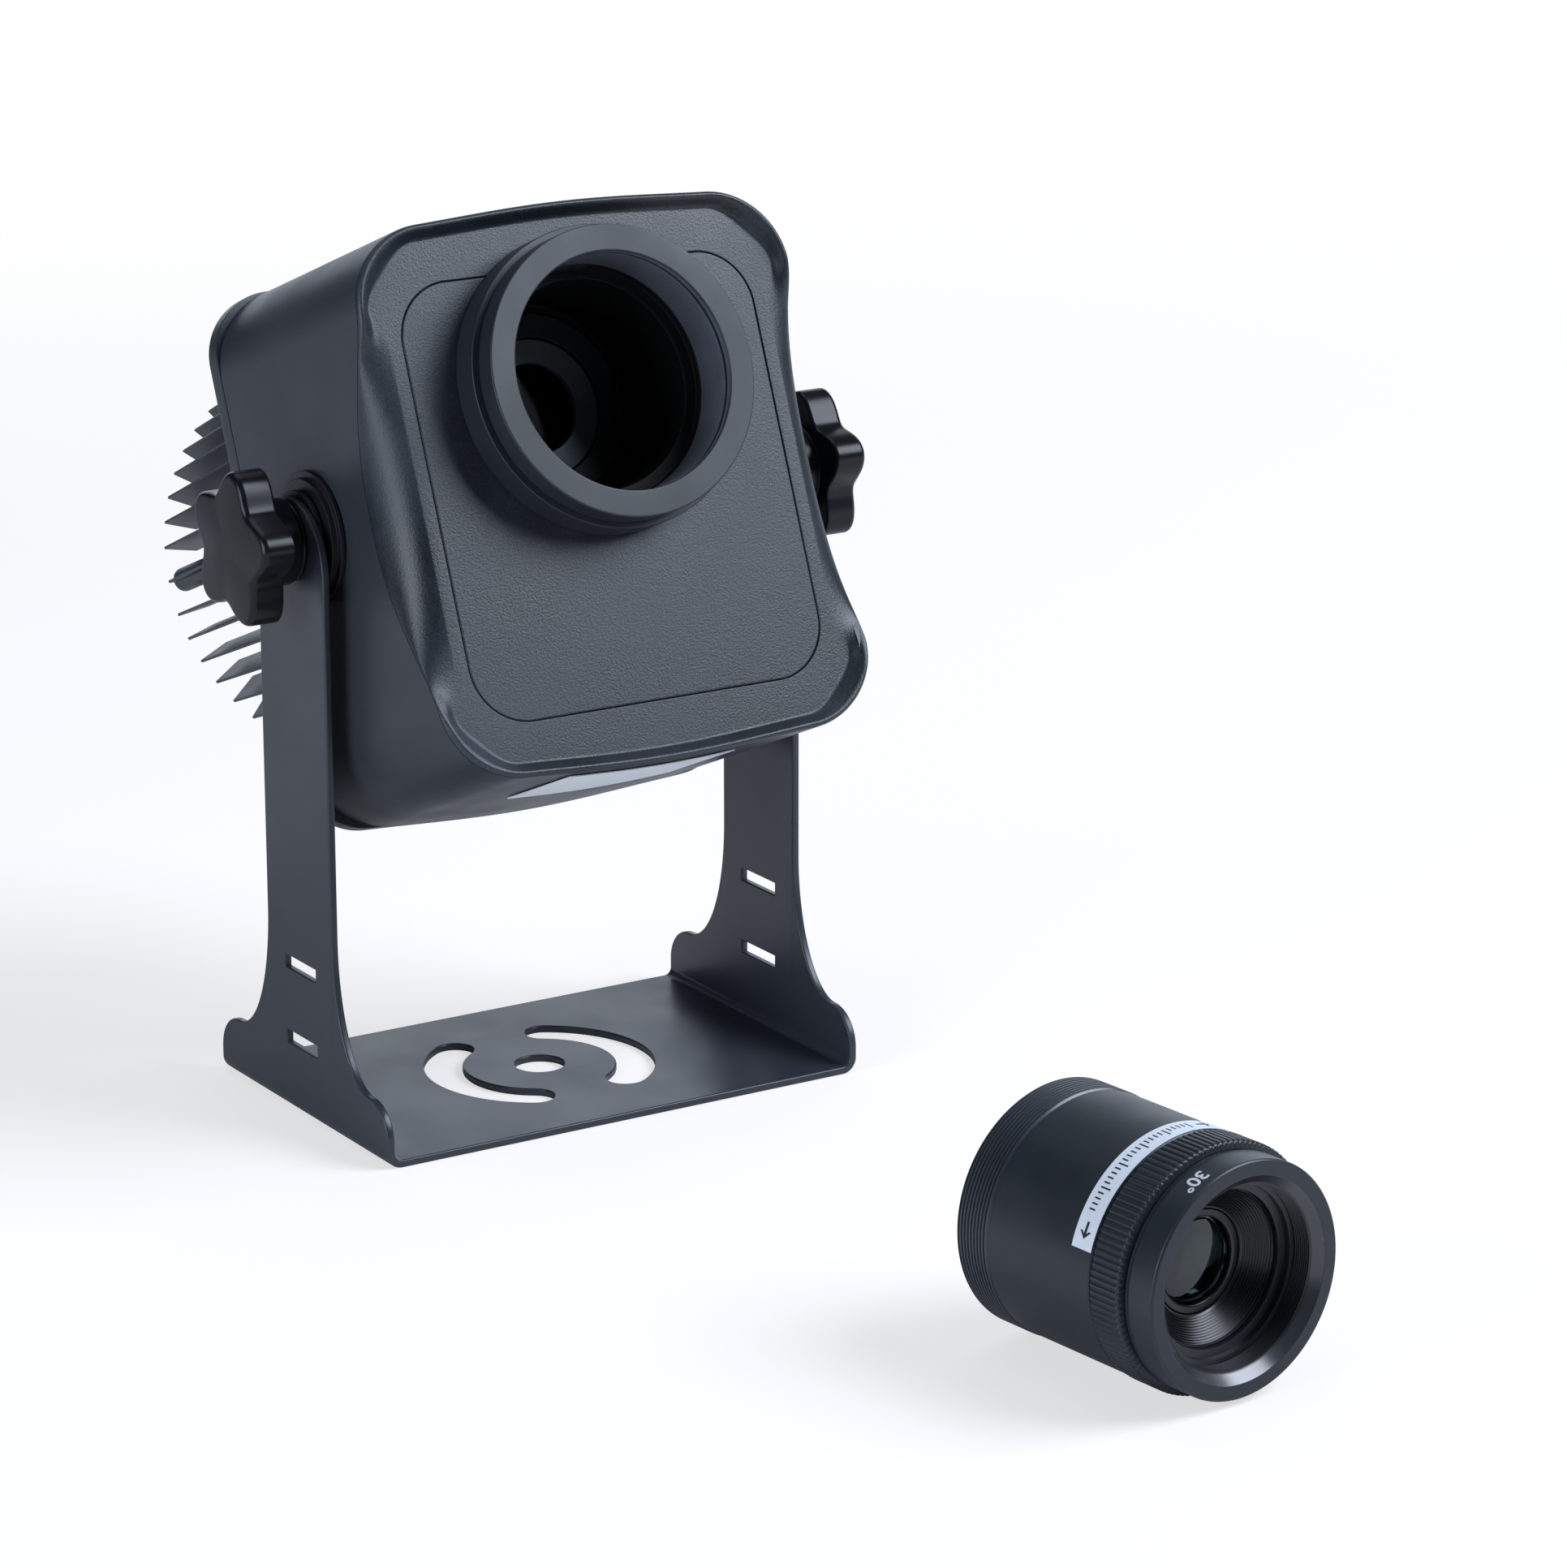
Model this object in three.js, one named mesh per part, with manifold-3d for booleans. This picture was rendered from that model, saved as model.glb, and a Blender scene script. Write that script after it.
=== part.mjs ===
// A stage gobo projector: a tilting lamp head in a U-shaped yoke, with its screw-in lens lying beside it.
// Millimetres, +Z up. The origin is on the floor at the centre of the yoke's bolt hole.
// The projector shines towards -Y, and X runs along the yoke's width.

import * as THREE from "three";
import { mergeVertices } from "three/addons/utils/BufferGeometryUtils.js";
import Module from "manifold-3d";

const wasm = await Module();
wasm.setup();

// Clearances and overruns
const GAP = 0.3; // between pieces that meet
const OVERRUN = 1; // how far a cut runs past what it cuts
const WELD = 0.2; // how far joined shapes run into each other
const MERGE = 0.0001; // vertices nearer than this are one

// Sides of round shapes
const LARGE_SIDES = 28;
const MEDIUM_SIDES = 16;
const SMALL_SIDES = 8;
const ARC_STEPS = 6;
const SIDE_STEPS = 10; // along each side of the head
const TOP_STEPS = 4; // along its top and its bottom

// Yoke: one folded sheet
const ARM_CLEARANCE = 4.5; // between the head's sides and the arms
const YOKE_DEPTH = 90;
const YOKE_SHEET = 2;
const YOKE_BEND_R = 4;
const TILT_AXIS_HEIGHT = 151;
const STRAP_WIDTH = 34.5;
const STRAP_TOP_DROP = 6.5; // centre of the strap's round top, below the tilt axis
const SHOULDER_R = 9.7;
const SHOULDER_HEIGHT = 16.3;
const NECK_HEIGHT = 35.7; // rise of the curve between shoulder and strap
const BOLT_HOLE_R = 6.5;
const RING_SLOT_R = 25;
const RING_SLOT_WIDTH = 10;
const RING_SLOT_HALF_ANGLE = THREE.MathUtils.degToRad(57.5);
const ARM_SLOT_LENGTH = 16.2;
const ARM_SLOT_WIDTH = 3.2;
const ARM_SLOT_HEIGHT = 20.1; // lower slot's centre
const ARM_SLOT_PITCH = 20.1;

// Head shell
const HEAD_TILT = THREE.MathUtils.degToRad(22.2);
const HEAD_WIDTH = 125;
const HEAD_HEIGHT = 138.2; // without the crown
const HEAD_CROWN = 2.4; // bulge of the top and of the bottom
const HEAD_CORNER_R = 21;
const HEAD_CENTRE_DROP = 2; // shell's centre below the tilt axis
const HEAD_TAPER = 1.3; // how far the shell draws in from back to front
const SLEEVE_BACK = 32.4;
const SLEEVE_WALL = 2;
const SPIGOT_DEPTH = 5;
const SPIGOT_WALL = 2;

// Front cover
const FACE_Y = -43;
const FACE_PLATE = 3.4;
const LIP_HEIGHT = 3; // lip's crest in front of the face
const LIP_INSET = 1.9;
const SEAM_BEHIND_CREST = 1.4;
const FACE_INSET = 6;
const CORNER_FACE_INSET = 2.4; // more at the corners
const DIP_DEPTH = 14.3; // how far the seam falls back at the middle of each side
const DIP_END_MARGIN = 19.1; // from the dip's end to the shell's top and bottom
const DIP_HALF_LENGTH = HEAD_HEIGHT / 2 - DIP_END_MARGIN;
const DIP_CREST_DROP = 4.5; // how far the crest falls there
const DIP_CREST_INSET = 1.3; // how much further in the crest runs there
const DIP_FACE_INSET = 0.6;
const DIP_FLATNESS_SHARE = 2.4;
const DIP_FADE_SHARE = 1.6;
const LIP_RISE_SHARES = [0, 1 / 3, 2 / 3, 1]; // of a quarter turn from seam to crest
const LIP_FALL_SHARES = [0.3, 0.65, 1]; // of the way from crest to face

// Inset front panel
const PANEL_SIDE_MARGIN = 12.6;
const PANEL_TOP_MARGIN = 17.1;
const PANEL_BOTTOM_MARGIN = 12.1;
const PANEL_HALF_WIDTH = HEAD_WIDTH / 2 - PANEL_SIDE_MARGIN;
const PANEL_TOP = HEAD_HEIGHT / 2 - PANEL_TOP_MARGIN;
const PANEL_BOTTOM = PANEL_BOTTOM_MARGIN - HEAD_HEIGHT / 2;
const PANEL_CORNER_R = 14.7;
const PANEL_THICKNESS = 1.6;

// Lens collar on the front
const COLLAR_TOP_MARGIN = 46.5;
const COLLAR_RISE = HEAD_HEIGHT / 2 - COLLAR_TOP_MARGIN; // optical axis above the tilt axis
const COLLAR_FLANGE_R = 38;
const COLLAR_FLANGE_FRONT = -52;
const COLLAR_RING_R = 36.45;
const COLLAR_FRONT = -58.9;
const COLLAR_BORE_R = 29.7;
const COLLAR_CHAMFER = 0.5;
const COLLAR_SPIGOT_R = 34;
const COLLAR_SPIGOT_BACK = -44;
const BORE_GROOVE_SETBACK = 2;
const BORE_GROOVE_WIDTH = 0.8;
const BORE_GROOVE_DEPTH = 0.8;

// Socket tube behind the collar
const SOCKET_BORE_R = 26.6;
const SOCKET_STEP_Y = -41.3;
const SOCKET_NECK_R = 30.6;
const SOCKET_FLANGE_R = 36;
const SOCKET_FLANGE_THICKNESS = 2.5;
const SOCKET_WALL = 2;
const SOCKET_BACK = -9.4;
const BULKHEAD_THICKNESS = 2;

// Gobo holder and what it holds
const HOLDER_R = 24;
const HOLDER_FLANGE_R = 27.5;
const HOLDER_FRONT = -12.8;
const HOLDER_BACK = -6.6;
const GOBO_SEAT_Y = -8;
const GOBO_POCKET_R = 18;
const GOBO_APERTURE_R = 14.5;
const GOBO_R = 17.6;
const GOBO_THICKNESS = 1.1;
const GOBO_RING_FRONT = -11.5;
const GOBO_RING_R = 17.7;
const GOBO_RING_BORE_R = 11.6;
const GOBO_NOTCH_WIDTH = 3;
const GOBO_NOTCH_DEPTH = 2.2;

// Condenser and light source
const CONDENSER_R = 20;
const CONDENSER_BORE_R = 17.3;
const CONDENSER_LEDGE_R = 15.6;
const CONDENSER_LEDGE_Y = 4.5;
const CONDENSER_LEDGE_WIDTH = 1;
const CONDENSER_LENS_EDGE = 2.5;
const CONDENSER_LENS_BULGE = 7;
const FRONT_CONDENSER_Y = -5.6; // flat side
const REAR_CONDENSER_Y = 13.6; // flat side
const LED_BOARD_R = 16.5;
const LED_BOARD_THICKNESS = 1.6;
const EMITTER_SIZE = 12;
const EMITTER_THICKNESS = 1.4;
const PEDESTAL_FACE_Y = 18;

// Heat sink
const SINK_RISE = 5.6; // centre above the tilt axis
const SINK_FRONT = 38.8;
const SINK_BACK = 101.8;
const SINK_EDGE_MARGIN = 10.1;
const SINK_BACK_TAPER = 3.8;
const SINK_DISC_MARGIN = 15; // from the disc's edge to the fins' tips
const SINK_RIM = 9.2; // of blades round the recess
const SINK_FRONT_R = HEAD_HEIGHT / 2 - SINK_EDGE_MARGIN;
const SINK_BACK_R = SINK_FRONT_R - SINK_BACK_TAPER;
const SINK_DISC_R = SINK_FRONT_R - SINK_DISC_MARGIN;
const PEDESTAL_R = SINK_DISC_R / 2;
const SINK_DISC_THICKNESS = 5;
const SINK_HUB_R = 20;
const SINK_RECESS_R = SINK_BACK_R - SINK_RIM;
const SINK_RECESS_DEPTH = 24;
const FINS_PER_QUARTER = 11;
const FIN_BOSS_ANGLE = THREE.MathUtils.degToRad(9.4); // from a boss to the next fin
const FIN_ROOT_THICKNESS = 1.7;
const FIN_TIP_THICKNESS = 0.7;
const SINK_BOSS_R = 3.2;
const SINK_BOSS_HOLE_R = 1.3;
const SINK_BOSS_HOLE_DEPTH = 8;
const SINK_SCREW_MARGIN = 5.58; // in from the disc's edge
const SINK_SCREW_ANGLE = THREE.MathUtils.degToRad(38.66);
const SINK_SCREW_X = (SINK_DISC_R - SINK_SCREW_MARGIN) * Math.cos(SINK_SCREW_ANGLE);
const SINK_SCREW_Z = (SINK_DISC_R - SINK_SCREW_MARGIN) * Math.sin(SINK_SCREW_ANGLE);

// Rear cover
const REAR_COVER_FRONT = 32.7;
const REAR_CORNER_R = 16.5;
const REAR_COVER_BACK = 38.5;
const REAR_PLATE = 2.5;
const REAR_EDGE_R = 1.5;
const REAR_BOSS_R = 3;
const POST_R = 4;
const POST_LENGTH = 15;
const POST_BITE = 0.8; // how far a post runs into the wall

// Screws
const SCREW_R = 1.4;
const SCREW_HEAD_R = 2.8;
const SCREW_HEAD_HEIGHT = 2.4;
const SCREW_GRIP = 11; // how deep a cover screw runs into its post
const SINK_SCREW_GRIP = 3.2;

// Driver board and its parts
const BOARD_WIDTH = 74;
const BOARD_DEPTH = 50;
const BOARD_THICKNESS = 1.6;
const BOARD_FRONT = -27;
const BOARD_RISE = 9.5; // underside above the shell's lowest line
const BOARD_CORNER_R = 2;
const STANDOFF_R = 2.5;
const STANDOFF_PIN_R = 1.2;
const STANDOFF_INSET = 5;
const STANDOFF_PIN_RISE = 1;
const TRANSFORMER_SIZE = [22, 20, 17];
const TRANSFORMER_X = -18;
const TRANSFORMER_Y = 4;
const CAPACITOR_R = 6.2;
const CAPACITOR_HEIGHT = 22;
const CAPACITOR_X = 12;
const CAPACITOR_Y = 9;
const INDUCTOR_R = 6.5;
const INDUCTOR_WIRE_R = 3;
const INDUCTOR_X = 12;
const INDUCTOR_Y = -14;

// Cable gland
const GLAND_EDGE_MARGIN = 7.5;
const GLAND_DROP = HEAD_HEIGHT / 2 - GLAND_EDGE_MARGIN; // centre below the tilt axis
const GLAND_FLANGE_R = 7.5;
const GLAND_FLANGE_HEIGHT = 4.2;
const GLAND_DOME_R = 6;
const GLAND_DOME_HEIGHT = 9;
const GLAND_THREAD_R = 5.7;
const GLAND_THREAD_LENGTH = 6;
const GLAND_BORE_R = 3;
const GLAND_NUT_HEIGHT = 3;
const GLAND_NUT_SIDES = 6;

// Blank label under the head
const LABEL_LEFT = -27;
const LABEL_RIGHT = 20;
const LABEL_FRONT = -40;
const LABEL_BACK = -6;
const LABEL_THICKNESS = 0.25;
const LABEL_STEPS = 8;

// Tilt pivots: distances outwards from the head's side
const DISC_R = 16.5;
const DISC_STEP_R = 14.8;
const DISC_THICKNESS = 2.7;
const DISC_STEP = 1.1;
const STEM_R = 8;
const STEM_LENGTH = 12;
const PIVOT_NUT_R = 13;
const PIVOT_NUT_HEIGHT = 5;
const SPACER_R = 12.1;
const STUD_R = 4;
const STUD_CLEARANCE = 0.4;
const STUD_REACH = 17; // past the arm's inner face, towards the head's middle
const WASHER_R = 10.2;
const WASHER_THICKNESS = 1;

// Star knobs
const KNOB_HUB_R = 10.8;
const KNOB_HUB_LENGTH = 6.4;
const KNOB_HEAD_THICKNESS = 9.5;
const KNOB_TIP_R = 19.8;
const KNOB_VALLEY_R = 14.4;
const KNOB_LOBES = 5;
const KNOB_STEPS = 40;
const KNOB_EDGE = 1.5;
const KNOB_BACK_EDGE = 0.5;
const KNOB_BORE_SHORT = 4.2; // solid left over the blind bore
const KNOB_ANGLES = { left: THREE.MathUtils.degToRad(26.3), right: THREE.MathUtils.degToRad(16.4) };
const KNOB_BACKED_OFF = { left: 0, right: 2.5 };

// Lens lying on the floor: distances back from its front rim
const LENS_X = 19.3;
const LENS_Y = -277.9;
const LENS_HEADING = THREE.MathUtils.degToRad(6.25);
const NOSE_R = 27.9;
const NOSE_RIM_R = 27.4;
const NOSE_LENGTH = 9.1;
const NOSE_GROOVE_START = 8.6;
const NOSE_GROOVE_DEPTH = 0.9;
const NOSE_BORE_R = 22.4;
const NOSE_BORE_DEPTH = 7.1;
const NOSE_THROAT_R = 18.3;
const NOSE_SPIGOT_R = 26.4;
const NOSE_SPIGOT_BORE_R = 23.2;
const GRIP_FRONT = 9.4;
const GRIP_BACK = 18.8;
const GRIP_R = 29.6;
const GRIP_TOOTH = 0.5;
const GRIP_TEETH = 72;
const BARREL_R = 29.3;
const BARREL_BORE_R = 23.2;
const THREAD_FRONT = 53.2;
const THREAD_R = 29.5;
const LENS_LENGTH = 63.9;
const THREAD_CHAMFER = 0.6;
const STRIP_FRONT = 19.3;
const STRIP_WIDTH = 6.3;
const STRIP_THICKNESS = 0.2;
const STRIP_START = THREE.MathUtils.degToRad(68);
const STRIP_SWEEP = THREE.MathUtils.degToRad(97);
const STRIP_STEPS = 14;

// Focus tube and glass
const TUBE_R = 22.9;
const TUBE_FRONT = 10.4;
const TUBE_BACK = 48;
const TUBE_WALL = 3;
const BAFFLE_MOUTH_R = 18;
const BAFFLE_STEP_R = 15.9;
const BAFFLE_STEP_Y = 11.2;
const BAFFLE_END_R = 12.4;
const GLASS_RING_FRONT = 15.4;
const GLASS_RING_BORE_R = 10.3;
const GLASS_RING_R = 12.1;
const GLASS_RING_THICKNESS = 1.4;
const FRONT_CELL_R = 12.4;
const FRONT_GLASS_R = 12.1;
const FRONT_GLASS_EDGE = 2;
const FRONT_GLASS_BULGE = 2.4;
const FRONT_CELL_LENGTH = 9.5;
const REAR_CELL_R = 19.9;
const REAR_GLASS_R = 19.6;
const REAR_GLASS_EDGE = 2.4;
const REAR_GLASS_BULGE = 4;
const REAR_SEAT_Y = 36;
const REAR_SEAT_BORE_R = 17.4;
const REAR_RING_R = 19.6;
const REAR_RING_BORE_R = 17;
const REAR_RING_THICKNESS = 2;

// Colours
const PAINT = 0x2b2f36;
const POWDER_COAT = 0x2f343b;
const MATT_BLACK = 0x1b1e23;
const GLOSS_BLACK = 0x101216;
const DARK_METAL = 0x3a3e44;
const BRIGHT_METAL = 0xb9bdc2;
const WHITE = 0xe4e8ee;
const GLASS_TINT = 0x1d3a38;
const BOARD_GREEN = 0x1f5b3a;
const COPPER = 0xa8643c;
const LED_YELLOW = 0xe8d36a;

// Derived places
const SIDE_X = HEAD_WIDTH / 2 - taperAt(0); // head's side at the tilt axis
const YOKE_WIDTH = HEAD_WIDTH + 2 * (ARM_CLEARANCE + YOKE_SHEET);
const ARM_INSIDE = YOKE_WIDTH / 2 - YOKE_SHEET;
const ARM_OUTSIDE = YOKE_WIDTH / 2;
const REAR_PLATE_FRONT = REAR_COVER_BACK - REAR_PLATE;
const SHELL_BOTTOM = -(HEAD_HEIGHT / 2 + HEAD_CROWN + HEAD_CENTRE_DROP);
const BOARD_HEIGHT = SHELL_BOTTOM + BOARD_RISE;
const CORNER_POST_REACH = (HEAD_CORNER_R - SLEEVE_WALL - POST_R + POST_BITE) * Math.SQRT1_2;
const BOSS_ANGLES = [0, Math.PI / 2, Math.PI, 1.5 * Math.PI];

// Joins and cuts

function solidOf(geometry) {
  const bare = geometry.clone();
  bare.deleteAttribute("normal");
  bare.deleteAttribute("uv");
  const whole = mergeVertices(bare, MERGE);
  const corners = whole.index.array;
  const kept = [];
  for (let i = 0; i < corners.length; i += 3) {
    const [a, b, c] = [corners[i], corners[i + 1], corners[i + 2]];
    if (a !== b && b !== c && c !== a) kept.push(a, b, c);
  }
  return new wasm.Manifold(new wasm.Mesh({
    numProp: 3,
    vertProperties: new Float32Array(whole.attributes.position.array),
    triVerts: new Uint32Array(kept),
  }));
}

function geometryOf(solid) {
  const mesh = solid.getMesh();
  const geometry = new THREE.BufferGeometry();
  geometry.setAttribute("position", new THREE.BufferAttribute(new Float32Array(mesh.vertProperties), 3));
  geometry.setIndex(new THREE.BufferAttribute(new Uint32Array(mesh.triVerts), 1));
  geometry.computeVertexNormals();
  return geometry;
}

function cut(body, tools) {
  return geometryOf(tools.reduce((left, tool) => left.subtract(solidOf(tool)), solidOf(body)));
}

function join(pieces) {
  return geometryOf(pieces.slice(1).reduce((sum, piece) => sum.add(solidOf(piece)), solidOf(pieces[0])));
}

function common(body, other) {
  return geometryOf(solidOf(body).intersect(solidOf(other)));
}

// Plain shapes

/** Points of an arc, both ends included. */
function arc(centreX, centreY, radiusX, radiusY, start, end, steps = ARC_STEPS) {
  return Array.from({ length: steps + 1 }, (_, i) => {
    const angle = start + ((end - start) * i) / steps;
    return new THREE.Vector2(centreX + radiusX * Math.cos(angle), centreY + radiusY * Math.sin(angle));
  });
}

/** A solid turned about Y from [radius, y] pairs, which begin and end on the axis or form a closed loop. */
function turned(profile, sides) {
  const points = profile.map(([radius, y]) => new THREE.Vector2(radius, y));
  if (THREE.ShapeUtils.area(points) < 0) points.reverse();
  const touchesAxis = points.filter((point) => point.x === 0).length > 1;
  if (touchesAxis) {
    while (points[0].x !== 0 || points[points.length - 1].x !== 0) points.push(points.shift());
  } else {
    points.push(points[0].clone());
  }
  return new THREE.LatheGeometry(points, sides);
}

function rod(radius, from, to, sides) {
  return turned([[0, from], [radius, from], [radius, to], [0, to]], sides);
}

function tube(bore, radius, from, to, sides) {
  return turned([[bore, from], [radius, from], [radius, to], [bore, to]], sides);
}

function pushed(points, depth) {
  return new THREE.ExtrudeGeometry(new THREE.Shape(points), { depth, bevelEnabled: false });
}

/** An outline in X and Z, pushed along Y. */
function slabAlongY(points, from, to) {
  return pushed(points, to - from).rotateX(Math.PI / 2).translate(0, to, 0);
}

/** An outline in Y and Z, pushed along X. */
function slabAlongX(points, from, to) {
  const turn = new THREE.Matrix4().set(0, 0, 1, from, 1, 0, 0, 0, 0, 1, 0, 0, 0, 0, 0, 1);
  return pushed(points, to - from).applyMatrix4(turn);
}

/** An outline in X and Y, pushed along Z. */
function slabAlongZ(points, from, to) {
  return pushed(points, to - from).translate(0, 0, from);
}

function box(width, depth, height, x, y, z) {
  return new THREE.BoxGeometry(width, depth, height).translate(x, y, z);
}

function roundedRectangle(left, right, low, high, radius) {
  return [
    ...arc(right - radius, low + radius, radius, radius, -Math.PI / 2, 0),
    ...arc(right - radius, high - radius, radius, radius, 0, Math.PI / 2),
    ...arc(left + radius, high - radius, radius, radius, Math.PI / 2, Math.PI),
    ...arc(left + radius, low + radius, radius, radius, Math.PI, 1.5 * Math.PI),
  ];
}

/** A closed skin through rings of equally many points: looped like a ring, or capped at both ends. */
function loft(rings, looped) {
  const count = rings[0].length;
  const points = rings.flat();
  const corners = [];
  const spans = looped ? rings.length : rings.length - 1;
  for (let i = 0; i < spans; i++) {
    const here = i * count;
    const next = ((i + 1) % rings.length) * count;
    for (let j = 0; j < count; j++) {
      const k = (j + 1) % count;
      corners.push(here + j, here + k, next + k, here + j, next + k, next + j);
    }
  }
  if (!looped) {
    corners.push(...capCorners(points, 0, count).reverse());
    corners.push(...capCorners(points, points.length - 1 - count, count));
  }
  const geometry = new THREE.BufferGeometry().setFromPoints(points);
  geometry.setIndex(volumeOf(points, corners) < 0 ? corners.reverse() : corners);
  return geometry;
}

/** Adds a ring's middle point to the points, and joins the ring to it. */
function capCorners(points, start, count) {
  const ring = points.slice(start, start + count);
  points.push(ring.reduce((sum, point) => sum.add(point), new THREE.Vector3()).divideScalar(count));
  const middle = points.length - 1;
  return ring.flatMap((_, j) => [start + j, start + ((j + 1) % count), middle]);
}

function volumeOf(points, corners) {
  let sum = 0;
  for (let i = 0; i < corners.length; i += 3) {
    const [a, b, c] = [points[corners[i]], points[corners[i + 1]], points[corners[i + 2]]];
    sum += a.dot(new THREE.Vector3().crossVectors(b, c));
  }
  return sum;
}

function node(name, geometry, color, roughness, metalness = 0) {
  const mesh = new THREE.Mesh(geometry, new THREE.MeshStandardMaterial({ color, roughness, metalness }));
  mesh.name = name;
  return mesh;
}

// Yoke

function yokeSection() {
  const half = YOKE_WIDTH / 2;
  const top = TILT_AXIS_HEIGHT + STRAP_WIDTH;
  const inner = half - YOKE_SHEET;
  const innerR = YOKE_BEND_R - YOKE_SHEET;
  const bend = YOKE_BEND_R;
  return [
    new THREE.Vector2(-half, top),
    ...arc(-half + bend, bend, bend, bend, Math.PI, 1.5 * Math.PI),
    ...arc(half - bend, bend, bend, bend, 1.5 * Math.PI, 2 * Math.PI),
    new THREE.Vector2(half, top),
    new THREE.Vector2(inner, top),
    ...arc(half - bend, bend, innerR, innerR, 2 * Math.PI, 1.5 * Math.PI),
    ...arc(-half + bend, bend, innerR, innerR, 1.5 * Math.PI, Math.PI),
    new THREE.Vector2(-inner, top),
  ];
}

/** The arms seen from the side: round strap, curved neck and round shoulders down to the full base depth. */
function armOutline() {
  const half = YOKE_DEPTH / 2;
  const strap = STRAP_WIDTH / 2;
  const shoulderY = half - SHOULDER_R;
  const shoulderZ = SHOULDER_HEIGHT - SHOULDER_R;
  const neckTop = SHOULDER_HEIGHT + NECK_HEIGHT;
  const reach = shoulderY - strap;
  const right = [
    new THREE.Vector2(half, -OVERRUN),
    ...arc(shoulderY, shoulderZ, SHOULDER_R, SHOULDER_R, 0, Math.PI / 2),
    ...arc(shoulderY, neckTop, reach, NECK_HEIGHT, 1.5 * Math.PI, Math.PI).slice(1),
  ];
  const crown = arc(0, TILT_AXIS_HEIGHT - STRAP_TOP_DROP, strap, strap, 0, Math.PI, 2 * ARC_STEPS);
  const left = right.map((point) => new THREE.Vector2(-point.x, point.y)).reverse();
  return [...right, ...crown, ...left];
}

function ringSlot(turn) {
  const outer = RING_SLOT_R + RING_SLOT_WIDTH / 2;
  const inner = RING_SLOT_R - RING_SLOT_WIDTH / 2;
  const end = RING_SLOT_WIDTH / 2;
  const [low, high] = [turn - RING_SLOT_HALF_ANGLE, turn + RING_SLOT_HALF_ANGLE];
  const endAt = (angle, from) => {
    const [x, y] = [RING_SLOT_R * Math.cos(angle), RING_SLOT_R * Math.sin(angle)];
    return arc(x, y, end, end, from, from + Math.PI);
  };
  return slabAlongZ([
    ...arc(0, 0, outer, outer, low, high, 2 * ARC_STEPS),
    ...endAt(high, high).slice(1),
    ...arc(0, 0, inner, inner, high, low, 2 * ARC_STEPS).slice(1),
    ...endAt(low, low + Math.PI).slice(1, -1),
  ], -OVERRUN, YOKE_SHEET + OVERRUN);
}

function yokeBracket() {
  const half = YOKE_WIDTH / 2 + OVERRUN;
  const bent = slabAlongY(yokeSection(), -YOKE_DEPTH / 2, YOKE_DEPTH / 2);
  const pivot = rod(STUD_R + STUD_CLEARANCE, -half, half, SMALL_SIDES).rotateZ(Math.PI / 2);
  pivot.translate(0, 0, TILT_AXIS_HEIGHT);
  const bolt = rod(BOLT_HOLE_R, -OVERRUN, YOKE_SHEET + OVERRUN, MEDIUM_SIDES).rotateX(Math.PI / 2);
  const armSlot = (z) => box(2 * half, ARM_SLOT_LENGTH, ARM_SLOT_WIDTH, 0, 0, z);
  const armSlots = [armSlot(ARM_SLOT_HEIGHT), armSlot(ARM_SLOT_HEIGHT + ARM_SLOT_PITCH)];
  const shaped = common(bent, slabAlongX(armOutline(), -half, half));
  return cut(shaped, [pivot, bolt, ringSlot(0), ringSlot(Math.PI), ...armSlots]);
}

// Head outline

/** How far the shell has drawn in at a depth. */
function taperAt(y) {
  const front = FACE_Y - LIP_HEIGHT;
  return (HEAD_TAPER * (SLEEVE_BACK - y)) / (SLEEVE_BACK - front);
}

/** How far the top and the bottom bulge at a place across the head. */
function crownAt(x) {
  return HEAD_CROWN * Math.cos((Math.PI * x) / HEAD_WIDTH) ** 2;
}

/** Stations round the head: a point, its outward direction and how much it belongs to a corner. */
function headStations(cornerR) {
  const straightX = HEAD_WIDTH / 2 - cornerR;
  const straightZ = HEAD_HEIGHT / 2 - cornerR;
  const stations = [];
  const add = (x, z, angle, corner) => {
    const height = z + Math.sign(z) * crownAt(x) - HEAD_CENTRE_DROP;
    stations.push({ x, z: height, nx: Math.cos(angle), nz: Math.sin(angle), corner });
  };
  for (let quarter = 0; quarter < 4; quarter++) {
    const signX = quarter === 0 || quarter === 3 ? 1 : -1;
    const signZ = quarter < 2 ? 1 : -1;
    for (let i = 0; i <= ARC_STEPS; i++) {
      const turn = i / ARC_STEPS;
      const angle = ((quarter + turn) * Math.PI) / 2;
      const x = signX * straightX + cornerR * Math.cos(angle);
      add(x, signZ * straightZ + cornerR * Math.sin(angle), angle, Math.sin(turn * Math.PI) ** 2);
    }
    const acrossTop = quarter % 2 === 0;
    const steps = acrossTop ? TOP_STEPS : SIDE_STEPS;
    for (let i = 1; i < steps; i++) {
      const way = 1 - (2 * i) / steps;
      const angle = ((quarter + 1) * Math.PI) / 2;
      if (acrossTop) add(signX * straightX * way, signZ * (HEAD_HEIGHT / 2), angle, 0);
      else add(signX * (HEAD_WIDTH / 2), signZ * straightZ * way, angle, 0);
    }
  }
  return stations;
}

const STATIONS = headStations(HEAD_CORNER_R);
const REAR_STATIONS = headStations(REAR_CORNER_R);

/** 0 where the lip stands full, 1 at the middle of each side, where it dips away. */
function dipAt(station) {
  const away = Math.min(1, Math.abs(station.z + HEAD_CENTRE_DROP) / DIP_HALF_LENGTH);
  return (1 - away ** DIP_FLATNESS_SHARE) ** DIP_FADE_SHARE;
}

function seamAt(station) {
  return FACE_Y - LIP_HEIGHT + SEAM_BEHIND_CREST + DIP_DEPTH * dipAt(station);
}

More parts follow.
